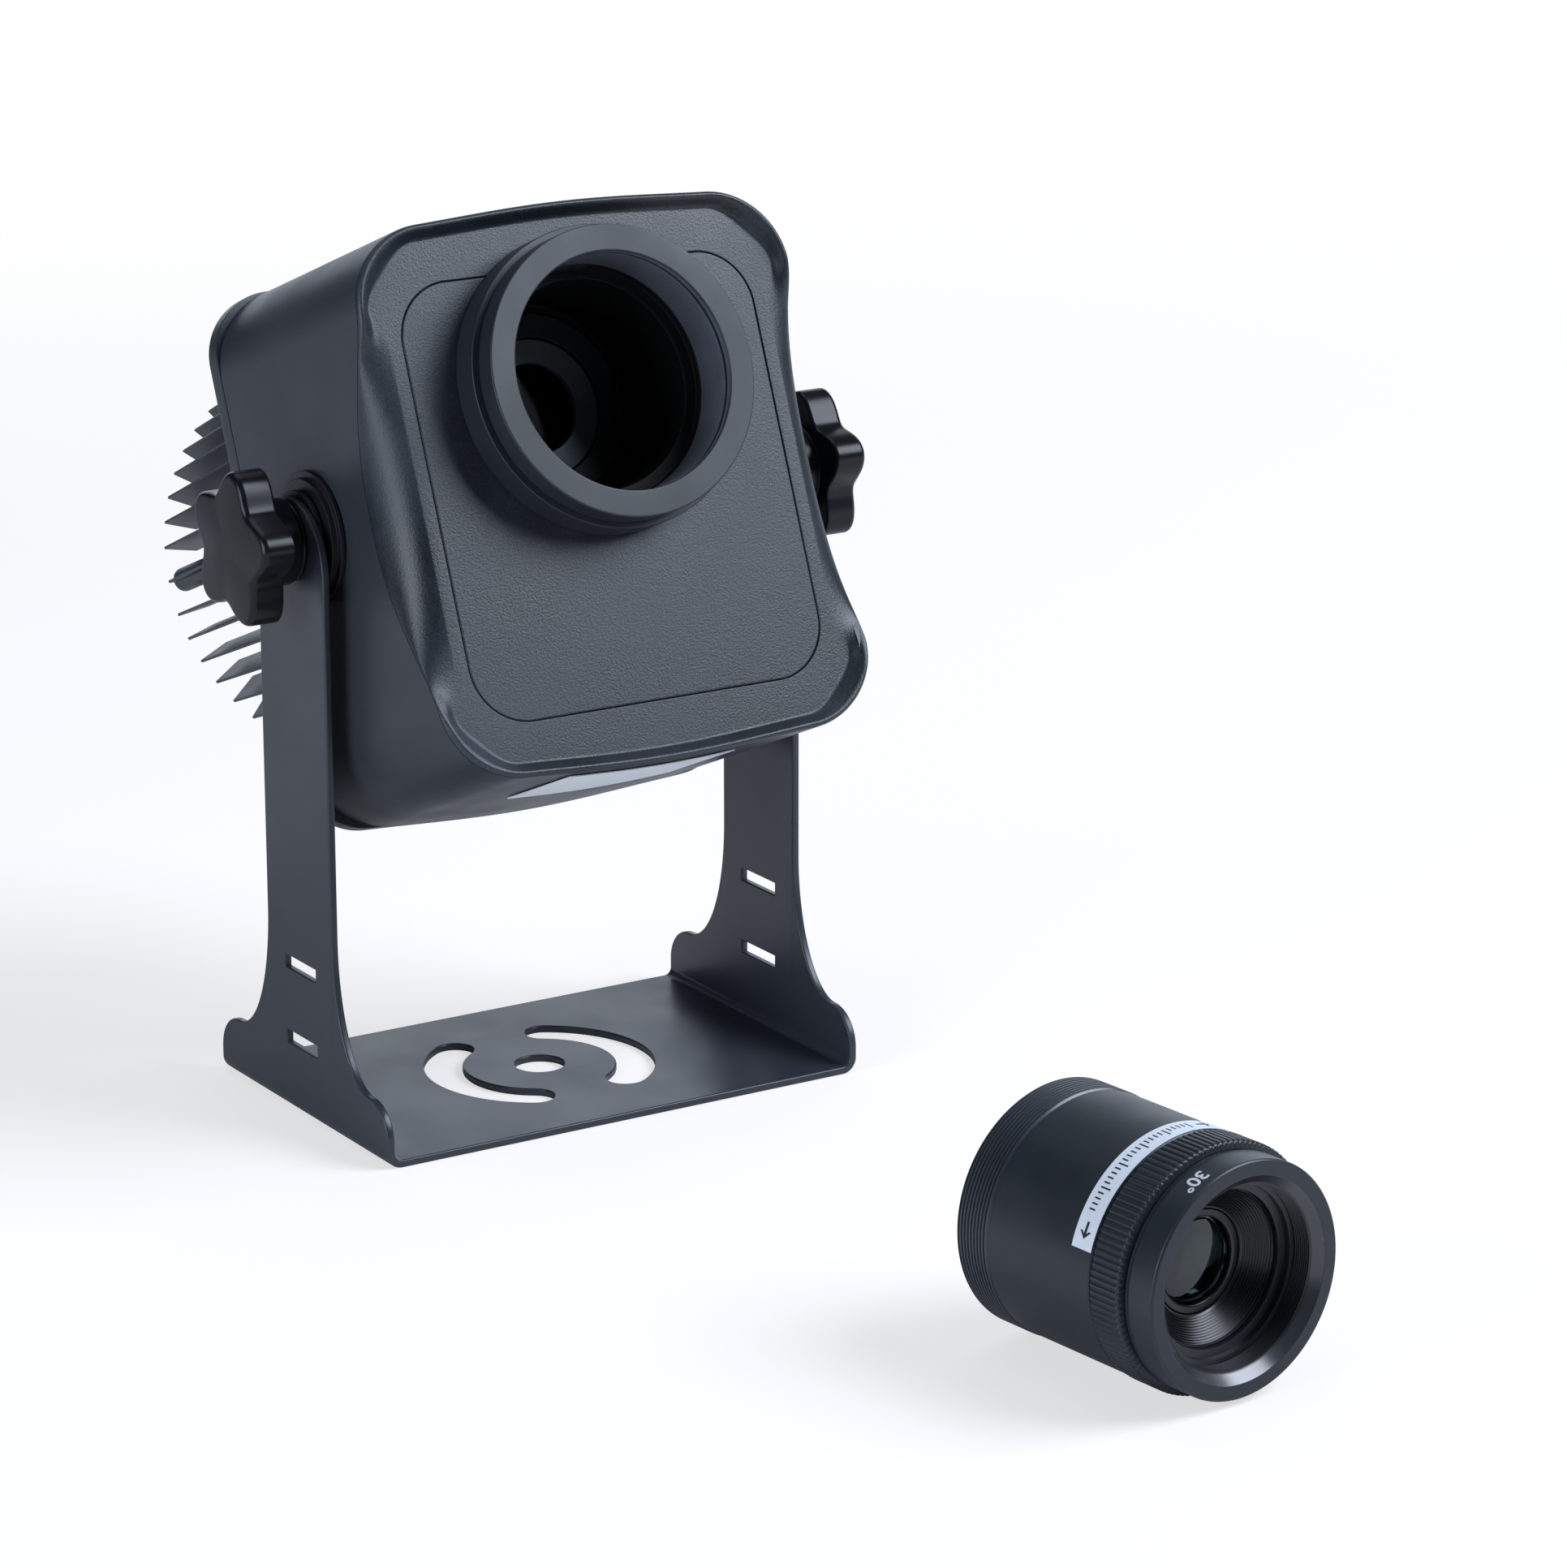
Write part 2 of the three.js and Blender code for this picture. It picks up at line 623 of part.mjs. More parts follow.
function headRing(insetAt, depthAt, stations = STATIONS) {
  return stations.map((station) => {
    const inset = insetAt(station);
    const [x, z] = [station.x - station.nx * inset, station.z - station.nz * inset];
    return new THREE.Vector3(x, depthAt(station), z);
  });
}

// Head shell

function cornerPlaces() {
  const x = HEAD_WIDTH / 2 - HEAD_CORNER_R + CORNER_POST_REACH;
  const z = HEAD_HEIGHT / 2 - HEAD_CORNER_R + CORNER_POST_REACH;
  return [[x, z], [-x, z], [-x, -z], [x, -z]].map(([px, pz]) => [px, pz - HEAD_CENTRE_DROP]);
}

function boardCorners(inset) {
  const x = BOARD_WIDTH / 2 - inset;
  const front = BOARD_FRONT + inset;
  const back = BOARD_FRONT + BOARD_DEPTH - inset;
  return [[x, front], [-x, front], [-x, back], [x, back]];
}

/** A rod along the head's depth at each corner. */
function cornerRods(radius, from, to) {
  return cornerPlaces().map(([x, z]) => rod(radius, from, to, SMALL_SIDES).translate(x, 0, z));
}

/** The pegs that carry the driver board, rising from the shell's floor. */
function boardStandoffs() {
  const floor = SHELL_BOTTOM + SLEEVE_WALL;
  const pinTop = BOARD_HEIGHT + BOARD_THICKNESS + STANDOFF_PIN_RISE;
  const peg = (radius, top) => rod(radius, floor, top, SMALL_SIDES).rotateX(Math.PI / 2);
  return boardCorners(STANDOFF_INSET).flatMap(([x, y]) => [
    peg(STANDOFF_R, BOARD_HEIGHT - GAP).translate(x, y, 0),
    peg(STANDOFF_PIN_R, pinTop).translate(x, y, 0),
  ]);
}

/** The head's side skin, open at both ends, with posts for the rear cover's screws. */
function housingSleeve() {
  const front = (station) => seamAt(station) + GAP;
  const shell = loft([
    headRing((s) => taperAt(front(s)), front),
    headRing(() => 0, () => SLEEVE_BACK),
    headRing(() => SLEEVE_WALL, () => SLEEVE_BACK),
    headRing((s) => taperAt(front(s)) + SLEEVE_WALL, front),
  ], true);
  const postBack = REAR_COVER_FRONT - SPIGOT_DEPTH - GAP;
  const posts = cornerRods(POST_R, postBack - POST_LENGTH, postBack);
  const holes = cornerRods(SCREW_R + GAP, postBack - SCREW_GRIP - GAP, postBack + OVERRUN);
  const pivot = rod(STEM_R + GAP, -HEAD_WIDTH, HEAD_WIDTH, MEDIUM_SIDES).rotateZ(Math.PI / 2);
  return cut(join([shell, ...posts, ...boardStandoffs()]), [...holes, pivot]);
}

/** Rings of the cover's outside, from its seam over the lip to the face. */
function lipRings() {
  const crestInset = (s) => LIP_INSET + DIP_CREST_INSET * dipAt(s);
  const crestY = (s) => FACE_Y - LIP_HEIGHT + DIP_CREST_DROP * dipAt(s);
  const faceInset = (s) => FACE_INSET + DIP_FACE_INSET * dipAt(s) + CORNER_FACE_INSET * s.corner;
  const between = (from, to, share) => from + (to - from) * share;
  const rise = LIP_RISE_SHARES.map((share) => {
    const turn = (share * Math.PI) / 2;
    return headRing(
      (s) => between(taperAt(seamAt(s)), crestInset(s), 1 - Math.cos(turn)),
      (s) => between(seamAt(s), crestY(s), Math.sin(turn)),
    );
  });
  const fall = LIP_FALL_SHARES.map((share) => headRing(
    (s) => between(crestInset(s), faceInset(s), share),
    (s) => between(crestY(s), FACE_Y, (1 - Math.cos(share * Math.PI)) / 2),
  ));
  return [...rise, ...fall];
}

function panelOutline(extra) {
  const half = PANEL_HALF_WIDTH + extra;
  const [low, high] = [PANEL_BOTTOM - extra, PANEL_TOP + extra];
  return roundedRectangle(-half, half, low, high, PANEL_CORNER_R + extra);
}

function frontCover() {
  const ledge = (s) => taperAt(seamAt(s)) + SLEEVE_WALL + GAP;
  const spigotBack = (s) => seamAt(s) + SPIGOT_DEPTH;
  const back = FACE_Y + FACE_PLATE;
  const shell = loft([
    ...lipRings().reverse(),
    headRing(ledge, seamAt),
    headRing(ledge, spigotBack),
    headRing((s) => ledge(s) + SPIGOT_WALL, (s) => Math.max(spigotBack(s), back)),
    headRing((s) => ledge(s) + 2 * SPIGOT_WALL, () => back),
  ], false);
  const hole = rod(SOCKET_NECK_R + GAP, FACE_Y - OVERRUN, back + OVERRUN, LARGE_SIDES);
  const pocket = slabAlongY(panelOutline(GAP), FACE_Y - OVERRUN, FACE_Y + PANEL_THICKNESS + GAP);
  return cut(shell, [hole.translate(0, 0, COLLAR_RISE), pocket]);
}

function frontPanel() {
  const plate = slabAlongY(panelOutline(0), FACE_Y, FACE_Y + PANEL_THICKNESS);
  const hole = rod(SOCKET_NECK_R + GAP, FACE_Y - OVERRUN, FACE_Y + PANEL_THICKNESS + OVERRUN, LARGE_SIDES);
  return cut(plate, [hole.translate(0, 0, COLLAR_RISE)]);
}

function rearCover() {
  const spigotFront = REAR_COVER_FRONT - SPIGOT_DEPTH;
  const shell = loft([
    headRing(() => REAR_EDGE_R, () => REAR_COVER_BACK, REAR_STATIONS),
    headRing(() => 0, () => REAR_COVER_BACK - REAR_EDGE_R, REAR_STATIONS),
    headRing(() => 0, () => REAR_COVER_FRONT, REAR_STATIONS),
    headRing(() => SLEEVE_WALL + GAP, () => REAR_COVER_FRONT),
    headRing(() => SLEEVE_WALL + GAP, () => spigotFront),
    headRing(() => SLEEVE_WALL + GAP + SPIGOT_WALL, () => spigotFront),
    headRing(() => SLEEVE_WALL + GAP + SPIGOT_WALL, () => REAR_PLATE_FRONT),
  ], false);
  const bosses = cornerRods(REAR_BOSS_R, spigotFront, REAR_PLATE_FRONT + WELD);
  const [front, back] = [spigotFront - OVERRUN, REAR_COVER_BACK + OVERRUN];
  const through = (radius, x, z, sides) => rod(radius, front, back, sides).translate(x, 0, z);
  return cut(join([shell, ...bosses]), [
    ...cornerRods(SCREW_R + GAP, front, back),
    ...sinkScrewPlaces().map(([x, z]) => through(SCREW_R + GAP, x, z, SMALL_SIDES)),
    through(PEDESTAL_R + GAP, 0, COLLAR_RISE, LARGE_SIDES),
    through(GLAND_THREAD_R + GAP, 0, -GLAND_DROP, MEDIUM_SIDES),
  ]);
}

/** The blank label follows the shell's bottom, just below it. */
function bottomLabel() {
  const bottom = -HEAD_HEIGHT / 2 - HEAD_CENTRE_DROP;
  const surface = (x, y, below) => new THREE.Vector3(x, y, bottom - crownAt(x) + taperAt(y) - below);
  const rings = Array.from({ length: LABEL_STEPS + 1 }, (_, i) => {
    const x = LABEL_LEFT + ((LABEL_RIGHT - LABEL_LEFT) * i) / LABEL_STEPS;
    const near = [LABEL_FRONT, LABEL_BACK].map((y) => surface(x, y, GAP));
    const far = [LABEL_BACK, LABEL_FRONT].map((y) => surface(x, y, GAP + LABEL_THICKNESS));
    return [...near, ...far];
  });
  return loft(rings, false);
}

// Collar and socket

function collarFlange() {
  return tube(COLLAR_SPIGOT_R + GAP, COLLAR_FLANGE_R, COLLAR_FLANGE_FRONT, FACE_Y - GAP, LARGE_SIDES);
}

function collarRing() {
  const shoulder = COLLAR_FLANGE_FRONT - GAP;
  const grooveFront = COLLAR_FRONT + BORE_GROOVE_SETBACK;
  const grooveBack = grooveFront + BORE_GROOVE_WIDTH;
  return turned([
    [COLLAR_BORE_R + COLLAR_CHAMFER, COLLAR_FRONT],
    [COLLAR_RING_R - COLLAR_CHAMFER, COLLAR_FRONT],
    [COLLAR_RING_R, COLLAR_FRONT + COLLAR_CHAMFER],
    [COLLAR_RING_R, shoulder],
    [COLLAR_SPIGOT_R, shoulder],
    [COLLAR_SPIGOT_R, COLLAR_SPIGOT_BACK],
    [COLLAR_BORE_R, COLLAR_SPIGOT_BACK],
    [COLLAR_BORE_R, grooveBack],
    [COLLAR_BORE_R + BORE_GROOVE_DEPTH, grooveBack],
    [COLLAR_BORE_R + BORE_GROOVE_DEPTH, grooveFront],
    [COLLAR_BORE_R, grooveFront],
    [COLLAR_BORE_R, COLLAR_FRONT + COLLAR_CHAMFER],
  ], LARGE_SIDES);
}

function lensSocketTube() {
  const front = COLLAR_SPIGOT_BACK + GAP;
  const flange = FACE_Y + FACE_PLATE + GAP;
  const outer = SOCKET_BORE_R + SOCKET_WALL;
  return turned([
    [COLLAR_BORE_R, front],
    [SOCKET_NECK_R, front],
    [SOCKET_NECK_R, flange],
    [SOCKET_FLANGE_R, flange],
    [SOCKET_FLANGE_R, flange + SOCKET_FLANGE_THICKNESS],
    [outer, flange + SOCKET_FLANGE_THICKNESS],
    [outer, SOCKET_BACK],
    [HOLDER_R + GAP, SOCKET_BACK],
    [HOLDER_R + GAP, SOCKET_BACK - BULKHEAD_THICKNESS],
    [SOCKET_BORE_R, SOCKET_BACK - BULKHEAD_THICKNESS],
    [SOCKET_BORE_R, SOCKET_STEP_Y],
    [COLLAR_BORE_R, SOCKET_STEP_Y],
  ], LARGE_SIDES);
}

// Gobo

function goboHolder() {
  const flange = SOCKET_BACK + GAP;
  return turned([
    [GOBO_POCKET_R, HOLDER_FRONT],
    [HOLDER_R, HOLDER_FRONT],
    [HOLDER_R, flange],
    [HOLDER_FLANGE_R, flange],
    [HOLDER_FLANGE_R, HOLDER_BACK],
    [GOBO_APERTURE_R, HOLDER_BACK],
    [GOBO_APERTURE_R, GOBO_SEAT_Y],
    [GOBO_POCKET_R, GOBO_SEAT_Y],
  ], LARGE_SIDES);
}

function goboGlass() {
  const back = GOBO_SEAT_Y - GAP;
  return rod(GOBO_R, back - GOBO_THICKNESS, back, LARGE_SIDES);
}

/** The ring that traps the gobo, with notches for a spanner on its front. */
function goboRetainingRing() {
  const back = GOBO_SEAT_Y - GOBO_THICKNESS - 2 * GAP;
  const ring = tube(GOBO_RING_BORE_R, GOBO_RING_R, GOBO_RING_FRONT, back, LARGE_SIDES);
  const notch = box(2 * GOBO_RING_R + OVERRUN, GOBO_NOTCH_DEPTH, GOBO_NOTCH_WIDTH, 0, GOBO_RING_FRONT, 0);
  return cut(ring, [notch]);
}

// Condenser and light source

function condenserBarrel() {
  const front = HOLDER_BACK + GAP;
  const back = PEDESTAL_FACE_Y - GAP;
  const ledgeBack = CONDENSER_LEDGE_Y + CONDENSER_LEDGE_WIDTH;
  return turned([
    [CONDENSER_BORE_R, front],
    [CONDENSER_R, front],
    [CONDENSER_R, back],
    [CONDENSER_BORE_R, back],
    [CONDENSER_BORE_R, ledgeBack],
    [CONDENSER_LEDGE_R, ledgeBack],
    [CONDENSER_LEDGE_R, CONDENSER_LEDGE_Y],
    [CONDENSER_BORE_R, CONDENSER_LEDGE_Y],
  ], MEDIUM_SIDES);
}

/** Glass: flat on one side, a dome inside a flat land on the other. way is +1 for a dome at the back. */
function planoConvex(radius, domeR, flat, edge, bulge, way) {
  const land = flat + way * edge;
  const dome = arc(0, 0, domeR, bulge, 0, Math.PI / 2).map((point) => [point.x, land + way * point.y]);
  dome[dome.length - 1][0] = 0;
  return turned([[0, flat], [radius, flat], [radius, land], ...dome], MEDIUM_SIDES);
}

function condenserLens(flat, way) {
  const domeR = CONDENSER_LEDGE_R - GAP;
  const radius = CONDENSER_BORE_R - GAP;
  return planoConvex(radius, domeR, flat, CONDENSER_LENS_EDGE, CONDENSER_LENS_BULGE, way);
}

function ledBoard() {
  const back = PEDESTAL_FACE_Y - GAP;
  return rod(LED_BOARD_R, back - LED_BOARD_THICKNESS, back, MEDIUM_SIDES);
}

function ledEmitter() {
  const back = PEDESTAL_FACE_Y - LED_BOARD_THICKNESS - 2 * GAP;
  return box(EMITTER_SIZE, EMITTER_THICKNESS, EMITTER_SIZE, 0, back - EMITTER_THICKNESS / 2, 0);
}

// Heat sink

function finAngles() {
  const pitch = (Math.PI / 2 - 2 * FIN_BOSS_ANGLE) / (FINS_PER_QUARTER - 1);
  return BOSS_ANGLES.flatMap((boss) => Array.from(
    { length: FINS_PER_QUARTER },
    (_, i) => boss + FIN_BOSS_ANGLE + i * pitch,
  ));
}

/** One radial fin: full depth near the disc, and only its outer blade round the recess at the back. */
function fin() {
  const recessFront = SINK_BACK - SINK_RECESS_DEPTH;
  const outline = [
    [SINK_HUB_R - WELD, SINK_FRONT],
    [SINK_FRONT_R, SINK_FRONT],
    [SINK_BACK_R, SINK_BACK],
    [SINK_RECESS_R, SINK_BACK],
    [SINK_RECESS_R, recessFront],
    [SINK_HUB_R - WELD, recessFront],
  ].map(([r, y]) => new THREE.Vector2(r, y));
  const geometry = slabAlongZ(outline, -FIN_ROOT_THICKNESS / 2, FIN_ROOT_THICKNESS / 2);
  const place = geometry.attributes.position;
  const thinning = 1 - FIN_TIP_THICKNESS / FIN_ROOT_THICKNESS;
  for (let i = 0; i < place.count; i++) {
    const outward = (place.getX(i) - SINK_HUB_R) / (SINK_FRONT_R - SINK_HUB_R);
    place.setZ(i, place.getZ(i) * (1 - thinning * outward));
  }
  return geometry;
}

function sinkScrewPlaces() {
  const [high, low] = [SINK_RISE + SINK_SCREW_Z, SINK_RISE - SINK_SCREW_Z];
  return [[SINK_SCREW_X, high], [-SINK_SCREW_X, high], [-SINK_SCREW_X, low], [SINK_SCREW_X, low]];
}

/** A rod along the sink's depth in each of the four boss places. */
function bossRods(radius, from, to) {
  const place = (SINK_RECESS_R + SINK_BACK_R) / 2;
  const one = (angle) => rod(radius, from, to, SMALL_SIDES).translate(place, 0, 0).rotateY(angle);
  return BOSS_ANGLES.map((angle) => one(angle).translate(0, 0, SINK_RISE));
}

function heatSink() {
  const recessFront = SINK_BACK - SINK_RECESS_DEPTH;
  const centred = [
    rod(SINK_DISC_R, SINK_FRONT, SINK_FRONT + SINK_DISC_THICKNESS, LARGE_SIDES),
    rod(SINK_HUB_R, SINK_FRONT, recessFront, MEDIUM_SIDES),
    ...[...BOSS_ANGLES, ...finAngles()].map((angle) => fin().rotateY(angle)),
  ].map((piece) => piece.translate(0, 0, SINK_RISE));
  const pedestal = rod(PEDESTAL_R, PEDESTAL_FACE_Y, SINK_FRONT + WELD, LARGE_SIDES);
  const bosses = bossRods(SINK_BOSS_R, SINK_FRONT, SINK_BACK);
  const bossHoles = bossRods(SINK_BOSS_HOLE_R, SINK_BACK - SINK_BOSS_HOLE_DEPTH, SINK_BACK + OVERRUN);
  const screwEnd = SINK_FRONT + SINK_SCREW_GRIP + GAP;
  const screwRod = rod(SCREW_R + GAP, SINK_FRONT - OVERRUN, screwEnd, SMALL_SIDES);
  const screwHoles = sinkScrewPlaces().map(([x, z]) => screwRod.clone().translate(x, 0, z));
  const body = join([...centred, ...bosses, pedestal.translate(0, 0, COLLAR_RISE)]);
  return cut(body, [...bossHoles, ...screwHoles]);
}

// Screws

/** A cap screw along Y, with its head's underside at a depth and its tip at another. */
function screw(seat, tip) {
  const way = Math.sign(seat - tip);
  return turned([
    [0, seat + way * SCREW_HEAD_HEIGHT],
    [SCREW_HEAD_R, seat + way * SCREW_HEAD_HEIGHT],
    [SCREW_HEAD_R, seat],
    [SCREW_R, seat],
    [SCREW_R, tip],
    [0, tip],
  ], SMALL_SIDES);
}

function screws() {
  const postBack = REAR_COVER_FRONT - SPIGOT_DEPTH - GAP;
  const cover = cornerPlaces().map(([x, z], i) => node(
    `rear_cover_screw_${i + 1}`,
    screw(REAR_COVER_BACK + GAP, postBack - SCREW_GRIP).translate(x, 0, z), DARK_METAL, 0.4, 0.9,
  ));
  const sink = sinkScrewPlaces().map(([x, z], i) => node(
    `heat_sink_screw_${i + 1}`,
    screw(REAR_PLATE_FRONT - GAP, SINK_FRONT + SINK_SCREW_GRIP).translate(x, 0, z), BRIGHT_METAL, 0.35, 0.9,
  ));
  return [...cover, ...sink];
}

// Driver board

function driverBoard() {
  const half = BOARD_WIDTH / 2;
  const back = BOARD_FRONT + BOARD_DEPTH;
  const outline = roundedRectangle(-half, half, BOARD_FRONT, back, BOARD_CORNER_R);
  const top = BOARD_HEIGHT + BOARD_THICKNESS;
  const hole = rod(STANDOFF_PIN_R + GAP, BOARD_HEIGHT - OVERRUN, top + OVERRUN, SMALL_SIDES);
  hole.rotateX(Math.PI / 2);
  const holes = boardCorners(STANDOFF_INSET).map(([x, y]) => hole.clone().translate(x, y, 0));
  return cut(slabAlongZ(outline, BOARD_HEIGHT, top), holes);
}

function driverParts() {
  const seat = BOARD_HEIGHT + BOARD_THICKNESS + GAP;
  const [width, depth, height] = TRANSFORMER_SIZE;
  const block = box(width, depth, height, TRANSFORMER_X, TRANSFORMER_Y, seat + height / 2);
  const can = rod(CAPACITOR_R, 0, CAPACITOR_HEIGHT, SMALL_SIDES).rotateX(Math.PI / 2);
  const wire = arc(INDUCTOR_R, 0, INDUCTOR_WIRE_R, INDUCTOR_WIRE_R, 0, 2 * Math.PI).slice(1);
  const coil = turned(wire.map((point) => [point.x, point.y]), SMALL_SIDES).rotateX(Math.PI / 2);
  can.translate(CAPACITOR_X, CAPACITOR_Y, seat);
  coil.translate(INDUCTOR_X, INDUCTOR_Y, seat + INDUCTOR_WIRE_R);
  return [
    node("driver_transformer", block, LED_YELLOW, 0.6),
    node("driver_capacitor", can, GLOSS_BLACK, 0.3),
    node("driver_inductor", coil, COPPER, 0.4, 0.8),
  ];
}

// Cable gland

function glandBody() {
  const flange = REAR_COVER_BACK + GAP;
  const dome = flange + GLAND_FLANGE_HEIGHT;
  return turned([
    [GLAND_BORE_R, flange - GLAND_THREAD_LENGTH],
    [GLAND_THREAD_R, flange - GLAND_THREAD_LENGTH],
    [GLAND_THREAD_R, flange],
    [GLAND_FLANGE_R, flange],
    [GLAND_FLANGE_R, dome],
    [GLAND_DOME_R, dome],
    [GLAND_DOME_R, dome + GLAND_DOME_HEIGHT / 2],
    [GLAND_BORE_R + GAP, dome + GLAND_DOME_HEIGHT],
    [GLAND_BORE_R, dome + GLAND_DOME_HEIGHT],
  ], SMALL_SIDES);
}

function glandNut() {
  const back = REAR_PLATE_FRONT - GAP;
  const front = back - GLAND_NUT_HEIGHT;
  const nut = rod(GLAND_FLANGE_R, front, back, GLAND_NUT_SIDES).rotateY(Math.PI / GLAND_NUT_SIDES);
  return cut(nut, [rod(GLAND_THREAD_R + GAP, front - OVERRUN, back + OVERRUN, MEDIUM_SIDES)]);
}

// Tilt pivots, built along +Y as the way outwards

function pivotDisc() {
  const seat = SIDE_X + GAP;
  const bore = STUD_R + STUD_CLEARANCE;
  return turned([
    [bore, seat - STEM_LENGTH],
    [STEM_R, seat - STEM_LENGTH],
    [STEM_R, seat],
    [DISC_R, seat],
    [DISC_R, seat + DISC_STEP],
    [DISC_STEP_R, seat + DISC_STEP],
    [DISC_STEP_R, seat + DISC_THICKNESS],
    [bore, seat + DISC_THICKNESS],
  ], MEDIUM_SIDES);
}

function pivotNut() {
  const seat = SIDE_X - SLEEVE_WALL - GAP;
  return tube(STEM_R + GAP, PIVOT_NUT_R, seat - PIVOT_NUT_HEIGHT, seat, MEDIUM_SIDES);
}

function pivotSpacer() {
  const inside = SIDE_X + DISC_THICKNESS + 2 * GAP;
  return tube(STUD_R + STUD_CLEARANCE, SPACER_R, inside, ARM_INSIDE - GAP, MEDIUM_SIDES);
}

function knobWasher() {
  const inside = ARM_OUTSIDE + GAP;
  return tube(STUD_R + STUD_CLEARANCE, WASHER_R, inside, inside + WASHER_THICKNESS, MEDIUM_SIDES);
}

function knobInside() {
  return ARM_OUTSIDE + WASHER_THICKNESS + 2 * GAP;
}

function knobStud() {
  const tip = knobInside() + KNOB_HUB_LENGTH + KNOB_HEAD_THICKNESS - KNOB_BORE_SHORT - GAP;
  return rod(STUD_R, ARM_INSIDE - STUD_REACH, tip, SMALL_SIDES);
}

/** A star knob: a round hub with a blind bore, and a lobed head with rounded edges. */
function starKnob(angle) {
  const inside = knobInside();
  const back = inside + KNOB_HUB_LENGTH;
  const front = back + KNOB_HEAD_THICKNESS;
  const around = (y, radiusAt) => Array.from({ length: KNOB_STEPS }, (_, i) => {
    const turn = (2 * Math.PI * i) / KNOB_STEPS;
    const radius = radiusAt(turn);
    return new THREE.Vector3(radius * Math.cos(turn), y, radius * Math.sin(turn));
  });
  const middleR = (KNOB_TIP_R + KNOB_VALLEY_R) / 2;
  const swing = (KNOB_TIP_R - KNOB_VALLEY_R) / 2;
  const star = (inset) => (turn) => middleR - inset + swing * Math.cos(KNOB_LOBES * (turn - angle));
  const round = (radius) => () => radius;
  const bore = STUD_R + STUD_CLEARANCE;
  return loft([
    around(front - KNOB_BORE_SHORT, round(bore)),
    around(inside, round(bore)),
    around(inside, round(KNOB_HUB_R)),
    around(back, round(KNOB_HUB_R)),
    around(back, star(KNOB_BACK_EDGE)),
    around(back + KNOB_BACK_EDGE, star(0)),
    around(front - KNOB_EDGE, star(0)),
    around(front - KNOB_EDGE * (1 - Math.SQRT1_2), star(KNOB_EDGE * (1 - Math.SQRT1_2))),
    around(front, star(KNOB_EDGE)),
  ], false);
}

/** One side's pivot: disc, nut and spacer on the head, and the knob with its stud and washer. */
function pivotSide(side) {
  const outward = side === "left" ? -1 : 1;
  const turnOut = (geometry) => geometry.rotateZ((-outward * Math.PI) / 2);
  const angle = side === "left" ? KNOB_ANGLES.left : Math.PI - KNOB_ANGLES.right;
  const group = new THREE.Group();
  group.add(node(`pivot_disc_${side}`, turnOut(pivotDisc()), GLOSS_BLACK, 0.15));
  group.add(node(`pivot_nut_${side}`, turnOut(pivotNut()), DARK_METAL, 0.4, 0.9));
  group.add(node(`pivot_spacer_${side}`, turnOut(pivotSpacer()), MATT_BLACK, 0.6));
  const clamp = new THREE.Group();
  clamp.position.x = outward * KNOB_BACKED_OFF[side];
  clamp.add(node(`knob_washer_${side}`, turnOut(knobWasher()), GLOSS_BLACK, 0.25));
  clamp.add(node(`knob_stud_${side}`, turnOut(knobStud()), BRIGHT_METAL, 0.3, 0.95));
  clamp.add(node(`knob_${side}`, turnOut(starKnob(angle)), GLOSS_BLACK, 0.12));
  group.add(clamp);
  group.position.z = TILT_AXIS_HEIGHT;
  return group;
}

// Head

function opticsGroup() {
  const group = new THREE.Group();
  group.add(node("collar_flange", collarFlange(), MATT_BLACK, 0.55));
  group.add(node("collar_ring", collarRing(), MATT_BLACK, 0.5));
  group.add(node("lens_socket_tube", lensSocketTube(), MATT_BLACK, 0.7));
  group.add(node("gobo_holder", goboHolder(), DARK_METAL, 0.5, 0.6));
  group.add(node("gobo_glass", goboGlass(), GLASS_TINT, 0.1));
  group.add(node("gobo_retaining_ring", goboRetainingRing(), DARK_METAL, 0.4, 0.8));
  group.add(node("condenser_barrel", condenserBarrel(), DARK_METAL, 0.5, 0.7));
  group.add(node("condenser_lens_front", condenserLens(FRONT_CONDENSER_Y, 1), GLASS_TINT, 0.05));
  group.add(node("condenser_lens_rear", condenserLens(REAR_CONDENSER_Y, -1), GLASS_TINT, 0.05));
  group.add(node("led_board", ledBoard(), WHITE, 0.5));
  group.add(node("led_emitter", ledEmitter(), LED_YELLOW, 0.4));
  group.position.z = COLLAR_RISE;
  return group;
}

function glandGroup() {
  const group = new THREE.Group();
  group.add(node("cable_gland_body", glandBody(), MATT_BLACK, 0.5));
  group.add(node("cable_gland_nut", glandNut(), MATT_BLACK, 0.5));
  group.position.z = -GLAND_DROP;
  return group;
}

function head() {
  const group = new THREE.Group();
  group.add(node("housing_sleeve", housingSleeve(), PAINT, 0.5));
  group.add(node("front_cover", frontCover(), POWDER_COAT, 0.7));
  group.add(node("front_panel", frontPanel(), POWDER_COAT, 0.7));
  group.add(node("rear_cover", rearCover(), PAINT, 0.5));
  group.add(node("bottom_label", bottomLabel(), WHITE, 0.5));
  group.add(node("heat_sink", heatSink(), DARK_METAL, 0.45, 0.8));
  group.add(node("driver_board", driverBoard(), BOARD_GREEN, 0.5));
  group.add(...driverParts(), ...screws(), opticsGroup(), glandGroup());
  group.position.z = TILT_AXIS_HEIGHT;
  group.rotation.x = -HEAD_TILT;
  return group;
}

// Lens

function lensBarrel() {
  const front = GRIP_BACK + GAP;
  return turned([
    [BARREL_BORE_R, front],
    [BARREL_R, front],
    [BARREL_R, THREAD_FRONT],
    [THREAD_R, THREAD_FRONT],
    [THREAD_R, LENS_LENGTH - THREAD_CHAMFER],
    [THREAD_R - THREAD_CHAMFER, LENS_LENGTH],
    [BARREL_BORE_R, LENS_LENGTH],
  ], LARGE_SIDES);
}

